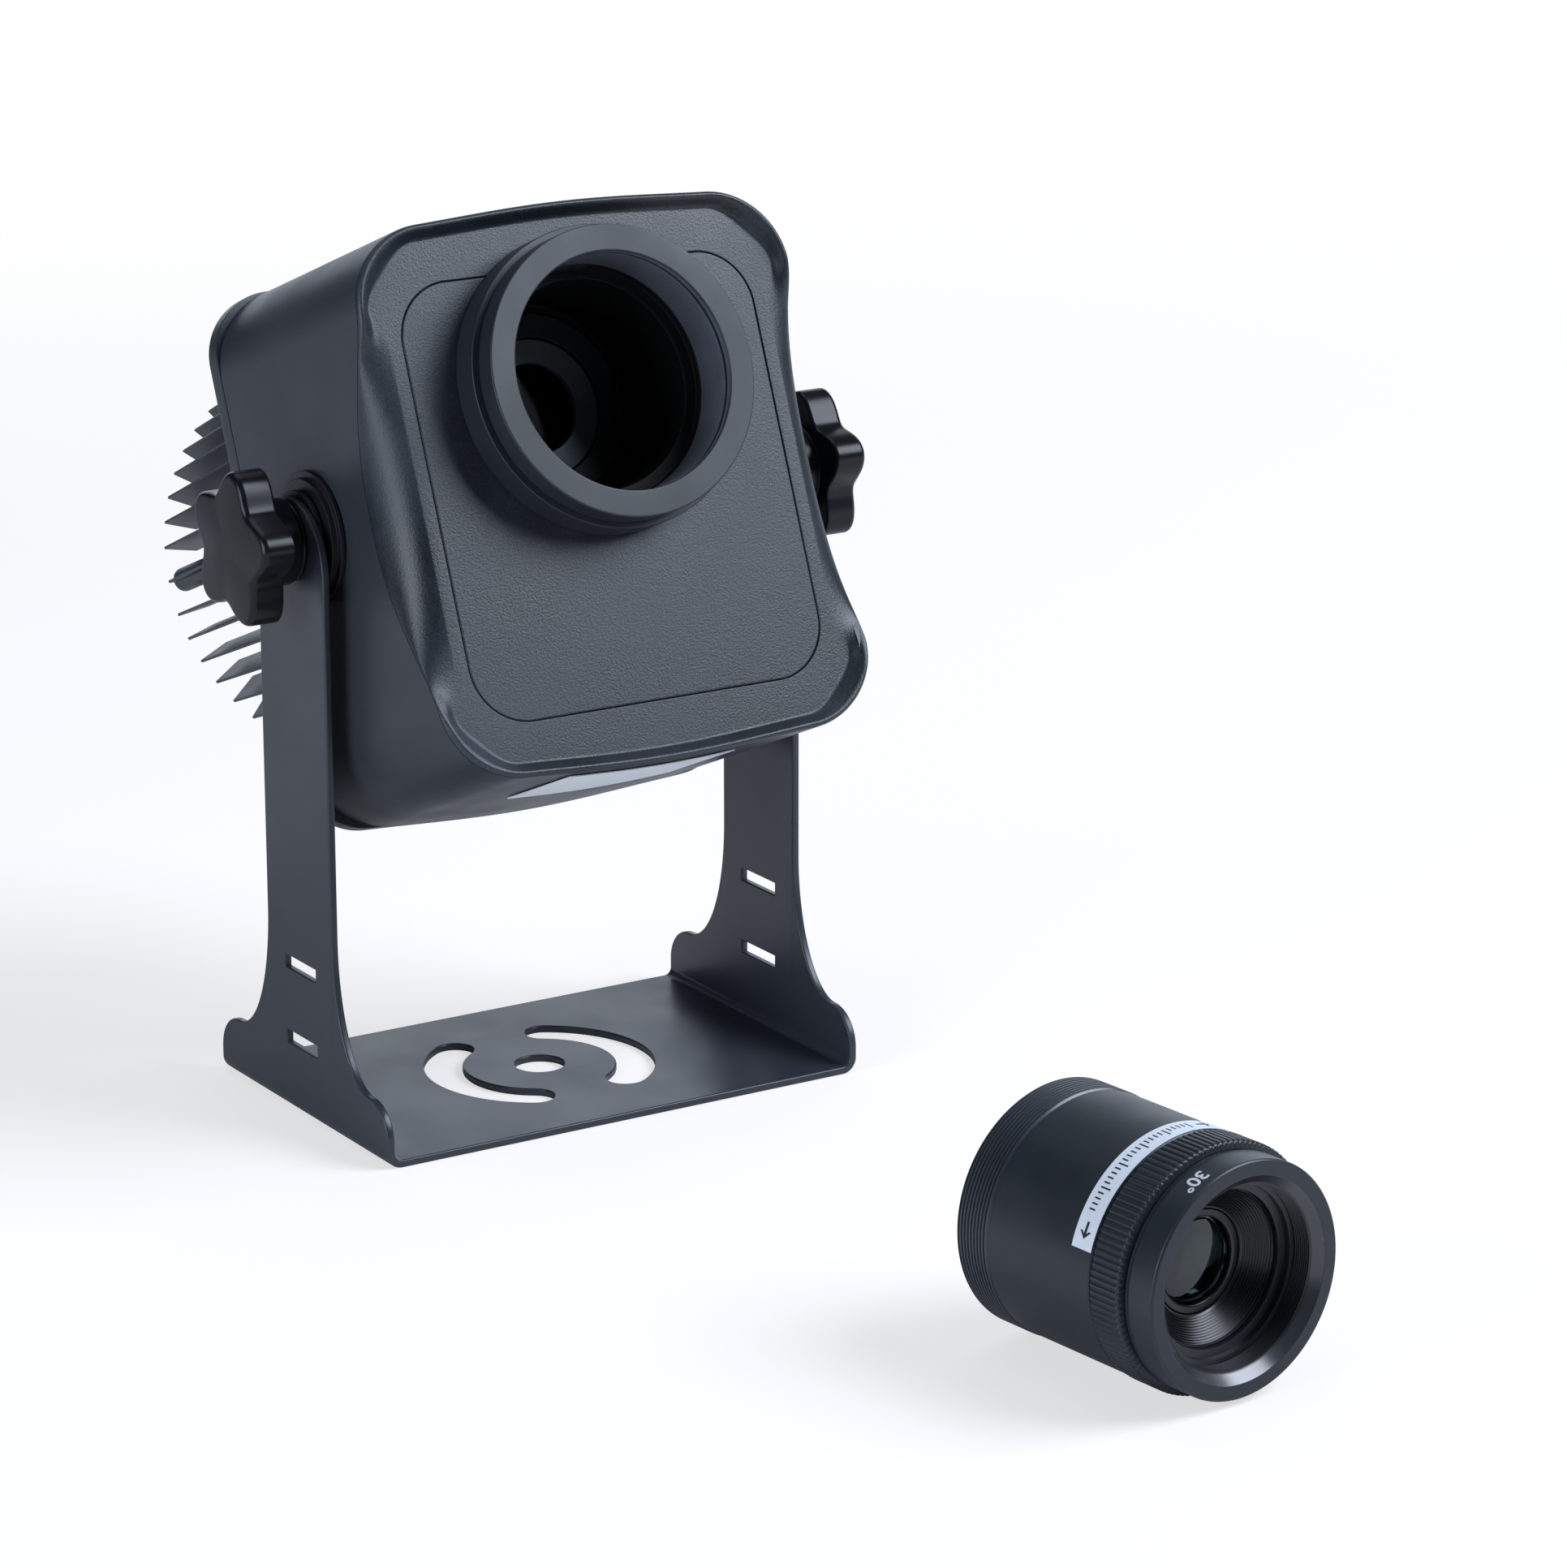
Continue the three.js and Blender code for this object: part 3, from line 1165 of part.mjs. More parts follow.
/** A printed strip bent round the barrel's top. */
function lensLabel() {
  const [inner, outer] = [BARREL_R + GAP, BARREL_R + GAP + STRIP_THICKNESS];
  const [front, back] = [STRIP_FRONT, STRIP_FRONT + STRIP_WIDTH];
  const section = [[front, inner], [back, inner], [back, outer], [front, outer]];
  const rings = Array.from({ length: STRIP_STEPS + 1 }, (_, i) => {
    const angle = STRIP_START + (STRIP_SWEEP * i) / STRIP_STEPS;
    return section.map(([y, r]) => new THREE.Vector3(r * Math.cos(angle), y, r * Math.sin(angle)));
  });
  return loft(rings, false);
}

function lensNose() {
  const grooveR = NOSE_R - NOSE_GROOVE_DEPTH;
  const bevel = NOSE_R - NOSE_RIM_R;
  return turned([
    [NOSE_BORE_R, 0],
    [NOSE_RIM_R, 0],
    [NOSE_R, bevel],
    [NOSE_R, NOSE_GROOVE_START],
    [grooveR, NOSE_GROOVE_START],
    [grooveR, NOSE_LENGTH],
    [NOSE_SPIGOT_R, NOSE_LENGTH],
    [NOSE_SPIGOT_R, GRIP_BACK],
    [NOSE_SPIGOT_BORE_R, GRIP_BACK],
    [NOSE_SPIGOT_BORE_R, TUBE_FRONT - GAP],
    [NOSE_THROAT_R, TUBE_FRONT - GAP],
    [NOSE_BORE_R, NOSE_BORE_DEPTH],
  ], LARGE_SIDES);
}

/** The knurled ring: straight teeth all round a plain bore. */
function focusRing() {
  const outline = Array.from({ length: 2 * GRIP_TEETH }, (_, i) => {
    const turn = (Math.PI * i) / GRIP_TEETH;
    const radius = GRIP_R - (i % 2) * GRIP_TOOTH;
    return new THREE.Vector2(radius * Math.cos(turn), radius * Math.sin(turn));
  });
  const blank = slabAlongY(outline, GRIP_FRONT, GRIP_BACK);
  return cut(blank, [rod(NOSE_SPIGOT_R + GAP, GRIP_FRONT - OVERRUN, GRIP_BACK + OVERRUN, LARGE_SIDES)]);
}

/** The guided tube that carries the glass, with a stepped baffle in front. */
function focusTube() {
  const ringBack = GLASS_RING_FRONT + GLASS_RING_THICKNESS;
  const cellBack = ringBack + FRONT_CELL_LENGTH;
  const bore = TUBE_R - TUBE_WALL;
  return turned([
    [BAFFLE_MOUTH_R, TUBE_FRONT],
    [TUBE_R, TUBE_FRONT],
    [TUBE_R, TUBE_BACK],
    [bore, TUBE_BACK],
    [bore, REAR_SEAT_Y],
    [REAR_SEAT_BORE_R, REAR_SEAT_Y],
    [REAR_SEAT_BORE_R, cellBack + TUBE_WALL],
    [GLASS_RING_BORE_R, cellBack + TUBE_WALL],
    [GLASS_RING_BORE_R, cellBack],
    [FRONT_CELL_R, cellBack],
    [FRONT_CELL_R, GLASS_RING_FRONT],
    [BAFFLE_END_R + GAP, GLASS_RING_FRONT],
    [BAFFLE_STEP_R, BAFFLE_STEP_Y],
  ], LARGE_SIDES);
}

function glassRing() {
  const back = GLASS_RING_FRONT + GLASS_RING_THICKNESS;
  return tube(GLASS_RING_BORE_R, GLASS_RING_R, GLASS_RING_FRONT, back, MEDIUM_SIDES);
}

/** Front element: flat behind its ring, bulging back. */
function frontGlass() {
  const flat = GLASS_RING_FRONT + GLASS_RING_THICKNESS + GAP;
  return planoConvex(FRONT_GLASS_R, GLASS_RING_BORE_R, flat, FRONT_GLASS_EDGE, FRONT_GLASS_BULGE, 1);
}

/** Second element of the front cell, seated on the cell's back wall. */
function middleGlass() {
  const flat = GLASS_RING_FRONT + GLASS_RING_THICKNESS + FRONT_CELL_LENGTH - GAP;
  return planoConvex(FRONT_GLASS_R, GLASS_RING_BORE_R, flat, FRONT_GLASS_EDGE, FRONT_GLASS_BULGE, -1);
}

function rearGlass() {
  const flat = REAR_SEAT_Y + GAP;
  return planoConvex(REAR_GLASS_R, REAR_RING_BORE_R - GAP, flat, REAR_GLASS_EDGE, REAR_GLASS_BULGE, 1);
}

function rearRetainingRing() {
  const front = REAR_SEAT_Y + REAR_GLASS_EDGE + 2 * GAP;
  return tube(REAR_RING_BORE_R, REAR_RING_R, front, front + REAR_RING_THICKNESS, MEDIUM_SIDES);
}

function lens() {
  const group = new THREE.Group();
  group.add(node("lens_barrel", lensBarrel(), MATT_BLACK, 0.45));
  group.add(node("lens_label", lensLabel(), WHITE, 0.5));
  group.add(node("lens_nose", lensNose(), MATT_BLACK, 0.45));
  group.add(node("focus_ring", focusRing(), MATT_BLACK, 0.5));
  group.add(node("focus_tube", focusTube(), MATT_BLACK, 0.6));
  group.add(node("glass_retaining_ring", glassRing(), MATT_BLACK, 0.5));
  group.add(node("front_glass", frontGlass(), GLASS_TINT, 0.05));
  group.add(node("middle_glass", middleGlass(), GLASS_TINT, 0.05));
  group.add(node("rear_glass", rearGlass(), GLASS_TINT, 0.05));
  group.add(node("rear_retaining_ring", rearRetainingRing(), MATT_BLACK, 0.5));
  group.position.set(LENS_X, LENS_Y, GRIP_R);
  group.rotation.z = LENS_HEADING;
  return group;
}

// Whole projector

const group = new THREE.Group();
group.add(node("yoke_bracket", yokeBracket(), PAINT, 0.45));
group.add(head(), pivotSide("left"), pivotSide("right"), lens());

export default group;
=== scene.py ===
"""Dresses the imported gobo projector: a tilting lamp head in a slotted yoke, with its lens beside it.

Sizes are in millimetres in each sub-assembly's own frame, and become metres in the row frame when a
piece is finished. The head's frame has its depth along Y and its height along Z, before the tilt.
"""

from __future__ import annotations

import logging
import math
from bisect import bisect_right
from collections.abc import Callable, Sequence
from dataclasses import dataclass, field
from enum import Enum

import bmesh
import bpy
from mathutils import Matrix, Vector

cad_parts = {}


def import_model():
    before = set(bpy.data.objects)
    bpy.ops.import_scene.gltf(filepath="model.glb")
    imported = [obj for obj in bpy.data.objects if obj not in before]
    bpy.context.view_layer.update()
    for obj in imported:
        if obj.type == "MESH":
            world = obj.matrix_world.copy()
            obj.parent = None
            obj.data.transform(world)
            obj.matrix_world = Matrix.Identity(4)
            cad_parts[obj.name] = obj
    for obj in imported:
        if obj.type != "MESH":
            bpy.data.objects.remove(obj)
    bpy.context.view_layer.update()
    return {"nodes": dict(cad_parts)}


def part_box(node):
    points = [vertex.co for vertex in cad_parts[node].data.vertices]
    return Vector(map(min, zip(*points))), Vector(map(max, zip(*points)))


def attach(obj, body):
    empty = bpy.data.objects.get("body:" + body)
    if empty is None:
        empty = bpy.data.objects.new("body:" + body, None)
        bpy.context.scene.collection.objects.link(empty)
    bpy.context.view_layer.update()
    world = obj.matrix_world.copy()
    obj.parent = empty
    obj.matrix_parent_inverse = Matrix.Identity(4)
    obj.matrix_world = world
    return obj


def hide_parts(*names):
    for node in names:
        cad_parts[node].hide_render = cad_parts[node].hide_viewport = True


LOG = logging.getLogger("gobo_projector")
MM = 0.001
HEAD_TILT = math.radians(22.2)
LENS_HEADING = math.radians(6.25)
TILT_AXIS_HEIGHT = 151.0
COLLAR_RISE = 22.6
GLAND_DROP = 61.6
LENS_PLACE = (19.3, -277.9, 29.6)
FINE_STEPS = 160
RING_STEPS = 128
SMALL_STEPS = 96
NOISE_LOW, NOISE_HIGH = 0.3, 0.7
FULL, QUARTER = 2 * math.pi, math.pi / 2
WHITE = (1, 1, 1, 1)

Point = tuple[float, float]
Triple = tuple[float, float, float]
Measure = float | Callable[[object], float]


class Place(Enum):
    """The frames that sub-assemblies are drawn in."""

    BASE = "base"
    HEAD = "head"
    OPTICS = "optics"
    GLAND = "gland"
    LENS = "lens"
    PIVOT_LEFT = "left"
    PIVOT_RIGHT = "right"

    def matrix(self) -> Matrix:
        """Where the frame stands.

        Returns:
            The transform from this frame to the row frame, in millimetres.
        """
        pivot = Matrix.Translation((0, 0, TILT_AXIS_HEIGHT))
        head = pivot @ Matrix.Rotation(-HEAD_TILT, 4, "X")
        return {
            Place.BASE: Matrix.Identity(4),
            Place.HEAD: head,
            Place.OPTICS: head @ Matrix.Translation((0, 0, COLLAR_RISE)),
            Place.GLAND: head @ Matrix.Translation((0, 0, -GLAND_DROP)),
            Place.LENS: Matrix.Translation(LENS_PLACE) @ Matrix.Rotation(LENS_HEADING, 4, "Z"),
            Place.PIVOT_LEFT: pivot @ Matrix.Rotation(QUARTER, 4, "Z"),
            Place.PIVOT_RIGHT: pivot @ Matrix.Rotation(-QUARTER, 4, "Z"),
        }[self]


class Shader:
    """A small helper that fills the node tree of a material or a world."""

    def __init__(self, owner: bpy.types.Material | bpy.types.World) -> None:
        """Empties the owner's tree.

        Args:
            owner: the material or the world.
        """
        self.owner = owner
        owner.use_nodes = True
        self.tree = owner.node_tree
        self.tree.nodes.clear()

    def add(self, kind: str, inputs: dict | None = None, **settings: object) -> bpy.types.Node:
        """Adds a node.

        Args:
            kind: the node's type.
            inputs: values for its input sockets, or sockets to join them to, by name or by number.
            settings: its other settings.

        Returns:
            The node.
        """
        node = self.tree.nodes.new(kind)
        for key, value in settings.items():
            setattr(node, key, value)
        for key, value in (inputs or {}).items():
            if isinstance(value, bpy.types.NodeSocket):
                self.tree.links.new(value, node.inputs[key])
            else:
                node.inputs[key].default_value = value
        return node

    def local(self, place: Place) -> bpy.types.NodeSocket:
        """Object coordinates turned into a sub-assembly's frame, in metres."""
        matrix = place.matrix()
        return self.add("ShaderNodeMapping", {
            "Vector": self.add("ShaderNodeTexCoord").outputs["Object"],
            "Location": matrix.to_translation() * MM, "Rotation": matrix.to_euler(),
        }, vector_type="TEXTURE").outputs["Vector"]

    def noise(self, vector: bpy.types.NodeSocket, size_mm: float, detail: float = 3.0) -> bpy.types.NodeSocket:
        """A noise of a given grain.

        Args:
            vector: the coordinates it reads.
            size_mm: the size of its grain.
            detail: how many finer layers it has.

        Returns:
            The socket with the noise, from 0 to 1.
        """
        inputs = {"Vector": vector, "Scale": 1 / (size_mm * MM), "Detail": detail}
        return self.add("ShaderNodeTexNoise", inputs).outputs["Fac"]

    def spread(self, value: bpy.types.NodeSocket, low: float, high: float) -> bpy.types.NodeSocket:
        """Spreads the middle of a noise between two values."""
        return self.add("ShaderNodeMapRange", {
            "Value": value, "From Min": NOISE_LOW, "From Max": NOISE_HIGH, "To Min": low, "To Max": high,
        }).outputs["Result"]

    def blend(self, value: bpy.types.NodeSocket, colour: Triple, first: float, second: float) -> bpy.types.NodeSocket:
        """Mixes two tones of a colour by a noise.

        Args:
            value: the noise.
            colour: the colour.
            first: the share of it where the noise is low.
            second: the share of it where the noise is high.

        Returns:
            The socket with the mixed colour.
        """
        ramp = self.add("ShaderNodeValToRGB", {"Fac": value})
        ends = ((NOISE_LOW, first), (NOISE_HIGH, second))
        for element, (position, share) in zip(ramp.color_ramp.elements, ends):
            element.position = position
            element.color = (*[share * channel for channel in colour], 1)
        return ramp.outputs["Color"]

    def bump(self, height: bpy.types.NodeSocket, relief: float, **inputs: object) -> bpy.types.NodeSocket:
        """Relief of a given height in millimetres, on top of other relief where its Normal is given."""
        distance = {"Strength": 1.0, "Distance": relief * MM, "Height": height}
        return self.add("ShaderNodeBump", {**distance, **inputs}).outputs["Normal"]

    def finish(self, surface: bpy.types.NodeSocket) -> bpy.types.Material | bpy.types.World:
        """Joins the last shader to the output.

        Args:
            surface: the shader's socket.

        Returns:
            The material or the world.
        """
        kind = "World" if isinstance(self.owner, bpy.types.World) else "Material"
        self.add(f"ShaderNodeOutput{kind}", {"Surface": surface})
        return self.owner


class Surface:
    """Any finish: something with a name that can fill a material's tree."""

    name: str

    def filled(self, shader: Shader) -> bpy.types.Material:
        """Fills the tree of a new material."""
        raise NotImplementedError

    def material(self) -> bpy.types.Material:
        """The finish's material, built once."""
        made = bpy.data.materials.get(self.name)
        return made or self.filled(Shader(bpy.data.materials.new(self.name)))


@dataclass(frozen=True)
class Finish(Surface):
    """A painted, moulded or anodised surface.

    grain is the size of its speckle and relief the height of that speckle, in millimetres. lathe is
    the pitch of turning marks round the Y axis of the place, where it has them.
    """

    name: str
    colour: Triple
    roughness: float
    spread: float = 0.06
    variation: float = 0.12
    grain: float = 0.5
    relief: float = 0.004
    specular: float = 0.5
    metallic: float = 0.0
    lathe: float = 0.0
    lathe_relief: float = 0.004
    place: Place = Place.BASE
    cloud_grains: float = 40
    cloud_least: float = 12

    def filled(self, shader: Shader) -> bpy.types.Material:
        """Fills the tree of a new material.

        Args:
            shader: the material's tree.

        Returns:
            The material.
        """
        coords = shader.local(self.place)
        speckle = shader.noise(coords, self.grain)
        cloud = shader.noise(coords, self.cloud_grains * self.grain + self.cloud_least)
        mixed = shader.add("ShaderNodeMix", {"Factor": 0.5, 2: speckle, 3: cloud}).outputs[0]
        normal = shader.bump(speckle, self.relief)
        if self.lathe:
            normal = shader.bump(self._turning_marks(shader, coords), self.lathe_relief, Normal=normal)
        body = shader.add("ShaderNodeBsdfPrincipled", {
            "Base Color": shader.blend(mixed, self.colour, 1 - self.variation, 1 + self.variation),
            "Roughness": shader.spread(cloud, self.roughness - self.spread, self.roughness + self.spread),
            "Metallic": self.metallic, "Specular IOR Level": self.specular, "Normal": normal,
        })
        return shader.finish(body.outputs["BSDF"])

    def _turning_marks(self, shader: Shader, coords: bpy.types.NodeSocket) -> bpy.types.NodeSocket:
        """Fine rings round the Y axis.

        Args:
            shader: the material's tree.
            coords: coordinates in the part's own frame.

        Returns:
            The socket with the height of the marks.
        """
        flat = shader.add("ShaderNodeVectorMath", {0: coords, 1: (1, 0, 1)}, operation="MULTIPLY").outputs["Vector"]
        together = shader.add("ShaderNodeCombineXYZ", {
            "X": shader.add("ShaderNodeVectorMath", {0: flat}, operation="LENGTH").outputs["Value"],
            "Y": shader.add("ShaderNodeSeparateXYZ", {"Vector": coords}).outputs["Y"],
        })
        return shader.noise(together.outputs["Vector"], self.lathe, 2.0)


@dataclass(frozen=True)
class GlassFinish(Surface):
    """Coated glass with a tint and a faint smear."""

    name: str
    colour: Triple
    ior: float = 1.52
    coat: float = 0.3
    smear_size: float = 9.0
    smear: float = 0.008

    def filled(self, shader: Shader) -> bpy.types.Material:
        """Fills the tree of a new material.

        Args:
            shader: the material's tree.

        Returns:
            The material.
        """
        smear = shader.noise(shader.local(Place.BASE), self.smear_size)
        body = shader.add("ShaderNodeBsdfPrincipled", {
            "Base Color": shader.blend(smear, self.colour, 0.92, 1), "Roughness": shader.spread(smear, 0, self.smear),
            "Transmission Weight": 1.0, "IOR": self.ior, "Coat Weight": self.coat, "Coat Roughness": 0.03,
        })
        return shader.finish(body.outputs["BSDF"])


class Look:
    """Every finish of the projector."""

    yoke = Finish("yoke_satin_black", (0.032, 0.037, 0.049), 0.33, grain=0.35, relief=0.006, specular=0.46)
    sleeve = Finish("sleeve_satin_paint", (0.032, 0.037, 0.046), 0.4, grain=0.3, specular=0.42)
    sandy = Finish("sandy_powder_coat", (0.019, 0.0245, 0.0325), 0.4, variation=0.75, relief=0.08, specular=0.56)
    collar = Finish("collar_matt_anodised", (0.016, 0.0195, 0.0255), 0.44, grain=0.3, relief=0.014, specular=0.55,
                    lathe=0.3, lathe_relief=0.003, place=Place.OPTICS)
    bore = Finish("bore_grainy_black", (0.085, 0.093, 0.115), 0.5, variation=0.5, grain=0.3, relief=0.02,
                  specular=0.4, place=Place.OPTICS)
    tube = Finish("tube_dead_black", (0.004, 0.0045, 0.005), 0.6, variation=0.3, grain=0.3, relief=0.02,
                  specular=0.25, place=Place.OPTICS)
    sink = Finish("sink_dark_anodised", (0.055, 0.062, 0.072), 0.44, grain=0.25, relief=0.005, metallic=0.5)
    holder = Finish("holder_anodised", (0.03, 0.036, 0.042), 0.5, metallic=0.3, lathe=0.25, lathe_relief=0.002,
                    place=Place.OPTICS)
    gobo_ring = Finish("gobo_ring_anodised", (0.15, 0.185, 0.205), 0.5, metallic=0.3, lathe=0.25,
                       lathe_relief=0.002, place=Place.OPTICS)
    barrel = Finish("lens_matt_anodised", (0.019, 0.0235, 0.0315), 0.38, grain=0.16, relief=0.003, specular=0.42,
                    lathe=0.28, lathe_relief=0.0025, place=Place.LENS)
    lens_mouth = Finish("lens_turned_mouth", (0.03, 0.033, 0.04), 0.24, variation=0.06, grain=0.16, relief=0.002,
                        specular=0.9, lathe=0.22, lathe_relief=0.002, place=Place.LENS)
    # The thread's tone, lighter than the barrel's, is painted sheen: it stands in for the light rings on the thread's
    # ridges.
    thread = Finish("lens_thread_painted_sheen", (0.034, 0.04, 0.052), 0.3, grain=0.3, relief=0.002, specular=0.7,
                    place=Place.LENS)
    barrel_inside = Finish("lens_inner_black", (0.008, 0.0095, 0.012), 0.3, grain=0.2, relief=0.001, specular=0.6,
                           lathe=0.2, lathe_relief=0.0006, place=Place.LENS)
    knob_side = Finish("knob_gloss", (0.006, 0.007, 0.009), 0.27, spread=0.03, grain=1.4, relief=0.003, specular=0.3)
    disc = Finish("pivot_satin_black", (0.012, 0.0135, 0.017), 0.36, relief=0.003, specular=0.3)
    knob_face = Finish("knob_satin_face", (0.008, 0.0095, 0.0125), 0.36, grain=0.3, specular=0.3)
    moulded = Finish("moulded_black", (0.01, 0.011, 0.013), 0.5, grain=0.3, relief=0.008, specular=0.4)
    black_steel = Finish("black_oxide_steel", (0.03, 0.032, 0.036), 0.34, metallic=0.85, grain=0.2)
    zinc = Finish("zinc_steel", (0.5, 0.51, 0.53), 0.3, metallic=1.0, grain=0.25)
    film = Finish("pale_label_film", (0.9, 0.93, 0.97), 0.42, variation=0.04, grain=0.8, relief=0.002)
    strip = Finish("pale_focus_strip", (0.76, 0.81, 0.88), 0.4, variation=0.04, grain=0.6, relief=0.002)
    ink = Finish("dark_ink", (0.012, 0.014, 0.018), 0.5, grain=0.2, relief=0.001)
    white_ink = Finish("white_ink", (0.62, 0.64, 0.68), 0.5, variation=0.05, grain=0.2, relief=0.001)
    board = Finish("board_solder_mask", (0.015, 0.1, 0.04), 0.35, grain=1.2, relief=0.006)
    dark_board = Finish("black_solder_mask", (0.014, 0.015, 0.017), 0.45, grain=1.0)
    tape = Finish("winding_tape", (0.65, 0.42, 0.06), 0.42, grain=2.0, relief=0.01)
    copper = Finish("copper_winding", (0.5, 0.2, 0.09), 0.3, metallic=1.0, relief=0.02)
    phosphor = Finish("yellow_phosphor", (0.75, 0.55, 0.08), 0.5, variation=0.08, grain=0.4)
    glass = GlassFinish("coated_glass", (0.13, 0.2, 0.19))
    clear = GlassFinish("clear_glass", (0.34, 0.36, 0.36), ior=1.06, coat=0.0)


def at(measure: Measure, place: object) -> float:
    """A measure that may change round an outline, at one place of it."""
    return measure(place) if callable(measure) else measure


def arc(centre: Point, radius: Point, start: float, end: float, steps: int) -> list[Point]:
    """Points of an arc, both ends included.

    Args:
        centre: its middle.
        radius: its two radii.
        start: the first angle, in radians.
        end: the last angle, in radians.
        steps: how many spans it has.

    Returns:
        The points.
    """
    turns = [start + (end - start) * i / steps for i in range(steps + 1)]
    return [(centre[0] + radius[0] * math.cos(t), centre[1] + radius[1] * math.sin(t)) for t in turns]


def circle(centre: Point, radius: float, steps: int) -> list[Point]:
    """Points of a whole circle."""
    return arc(centre, (radius, radius), 0, FULL, steps)[:-1]


def hoop(inner: float, outer: float, front: float, back: float) -> list[Point]:
    """The outline of a plain ring, as (radius, depth) points."""
    return [(inner, front), (outer, front), (outer, back), (inner, back)]


def eased(outline: Sequence[Point], radius: float) -> list[Point]:
    """Rounds the corners of a closed outline, apart from those on the axis.

    Args:
        outline: the corners.
        radius: how far from a corner the round begins.

    Returns:
        The new outline.
    """
    most, least, steps = 0.45, 1e-3, 3
    made: list[Point] = []
    for i, here in enumerate(outline):
        before, after = Vector(outline[i - 1]), Vector(outline[(i + 1) % len(outline)])
        corner = Vector(here)
        reach = min(radius, most * (before - corner).length, most * (after - corner).length)
        if here[0] == 0 or reach < least:
            made.append(here)
            continue
        start = corner + (before - corner).normalized() * reach
        end = corner + (after - corner).normalized() * reach
        for k in range(steps + 1):
            t = k / steps
            point = start * (1 - t) ** 2 + corner * 2 * t * (1 - t) + end * t ** 2
            made.append((point.x, point.y))
    return made


def ridged(start: Point, end: Point, count: int, depth: float) -> list[Point]:
    """A line with grooves on its right-hand side, for threads and baffles.

    Args:
        start: the first point.
        end: the last point.
        count: how many grooves it has.
        depth: how deep they are.

    Returns:
        The points.
    """
    first, last = Vector(start), Vector(end)
    way = last - first
    side = Vector((way.y, -way.x)).normalized() * depth
    made: list[Point] = []
    for i in range(count):
        for share, deep in ((0.0, 0), (0.3, 0), (0.5, 1), (0.8, 1)):
            point = first + way * ((i + share) / count) + side * deep
            made.append((point.x, point.y))
    return [*made, end]


class Shape:
    """A mesh in the making, in a place's own millimetres."""

    def __init__(self) -> None:
        """Starts an empty mesh."""
        self.mesh = bmesh.new()

    def turned(self, outline: Sequence[Point], ease: float = 0, steps: int = FINE_STEPS) -> Shape:
        """Spins a closed outline of (radius, depth) points about the Y axis.

        Args:
            outline: the points in order. Points at radius 0 close the shape on the axis.
            ease: how far from a corner its round begins, 0 for sharp corners.
            steps: how many flats go round.

        Returns:
            This shape.
        """
        outline = eased(outline, ease) if ease else outline
        corners = [self.mesh.verts.new((radius, depth, 0)) for radius, depth in outline]
        edges = [self.mesh.edges.new((corners[i - 1], corners[i])) for i in range(len(corners))
                 if outline[i - 1][0] > 0 or outline[i][0] > 0]
        bmesh.ops.spin(
            self.mesh, geom=[*corners, *edges], cent=(0, 0, 0), axis=(0, 1, 0), dvec=(0, 0, 0),
            angle=FULL, steps=steps, use_merge=True, use_normal_flip=False, use_duplicate=False,
        )
        return self.cleaned()

    def swept(self, rings: Sequence[Sequence[Vector]], looped: bool) -> Shape:
        """Extrudes a ring of edges from one outline to the next.

        Args:
            rings: outlines of equally many points.
            looped: true where the last outline joins the first, false where both ends are closed.

        Returns:
            This shape.
        """
        count = len(rings[0])
        first = [self.mesh.verts.new(point) for point in rings[0]]
        edges = [self.mesh.edges.new((first[i], first[(i + 1) % count])) for i in range(count)]
        here = first
        for ring in rings[1:]:
            order = {corner: i for i, corner in enumerate(here)}
            grown = bmesh.ops.extrude_edge_only(self.mesh, edges=edges)["geom"]
            after: list = [None] * count
            for corner in (item for item in grown if isinstance(item, bmesh.types.BMVert)):
                for edge in corner.link_edges:
                    other = edge.other_vert(corner)
                    if other in order:
                        after[order[other]] = corner
                        break
            for corner, point in zip(after, ring):
                corner.co = point
            edges = [item for item in grown if isinstance(item, bmesh.types.BMEdge)
                     and all(end not in order for end in item.verts)]
            here = after
        if looped:
            bmesh.ops.bridge_loops(self.mesh, edges=[*edges, *self._ring_edges(first)])
        else:
            bmesh.ops.contextual_create(self.mesh, geom=edges)
            bmesh.ops.contextual_create(self.mesh, geom=self._ring_edges(first))
        return self.cleaned()

    @staticmethod
    def _ring_edges(corners: Sequence[bmesh.types.BMVert]) -> list[bmesh.types.BMEdge]:
        """The edges between neighbours of a ring."""
        known = set(corners)
        return [edge for corner in corners for edge in corner.link_edges
                if edge.other_vert(corner) in known and len(edge.link_faces) < 2 and corner is edge.verts[0]]

    def moved(self, matrix: Matrix) -> Shape:
        """Moves the whole shape."""
        bmesh.ops.transform(self.mesh, matrix=matrix, verts=self.mesh.verts)
        return self

    def added(self, other: Shape, matrix: Matrix | None = None) -> Shape:
        """Takes in a copy of another shape.

        Args:
            other: the other shape.
            matrix: how the copy is moved.

        Returns:
            This shape.
        """
        spare = bpy.data.meshes.new("spare")
        other.mesh.to_mesh(spare)
        if matrix is not None:
            spare.transform(matrix)
        self.mesh.from_mesh(spare)
        bpy.data.meshes.remove(spare)
        return self

    def cut(self, places: Sequence[float]) -> Shape:
        """Cuts lines across the shape so that it can bend.

        Args:
            places: where they are along X.

        Returns:
            This shape.
        """
        across = Vector((1, 0, 0))
        for place in places:
            everything = [*self.mesh.verts, *self.mesh.edges, *self.mesh.faces]
            bmesh.ops.bisect_plane(self.mesh, geom=everything, plane_co=across * place, plane_no=across, dist=1e-5)
        return self

    def cleaned(self) -> Shape:
        """Merges doubles and turns the faces outwards.

        Returns:
            This shape.
        """
        bmesh.ops.remove_doubles(self.mesh, verts=self.mesh.verts, dist=1e-4)
        bmesh.ops.dissolve_degenerate(self.mesh, edges=self.mesh.edges, dist=1e-5)
        bmesh.ops.recalc_face_normals(self.mesh, faces=self.mesh.faces)
        return self

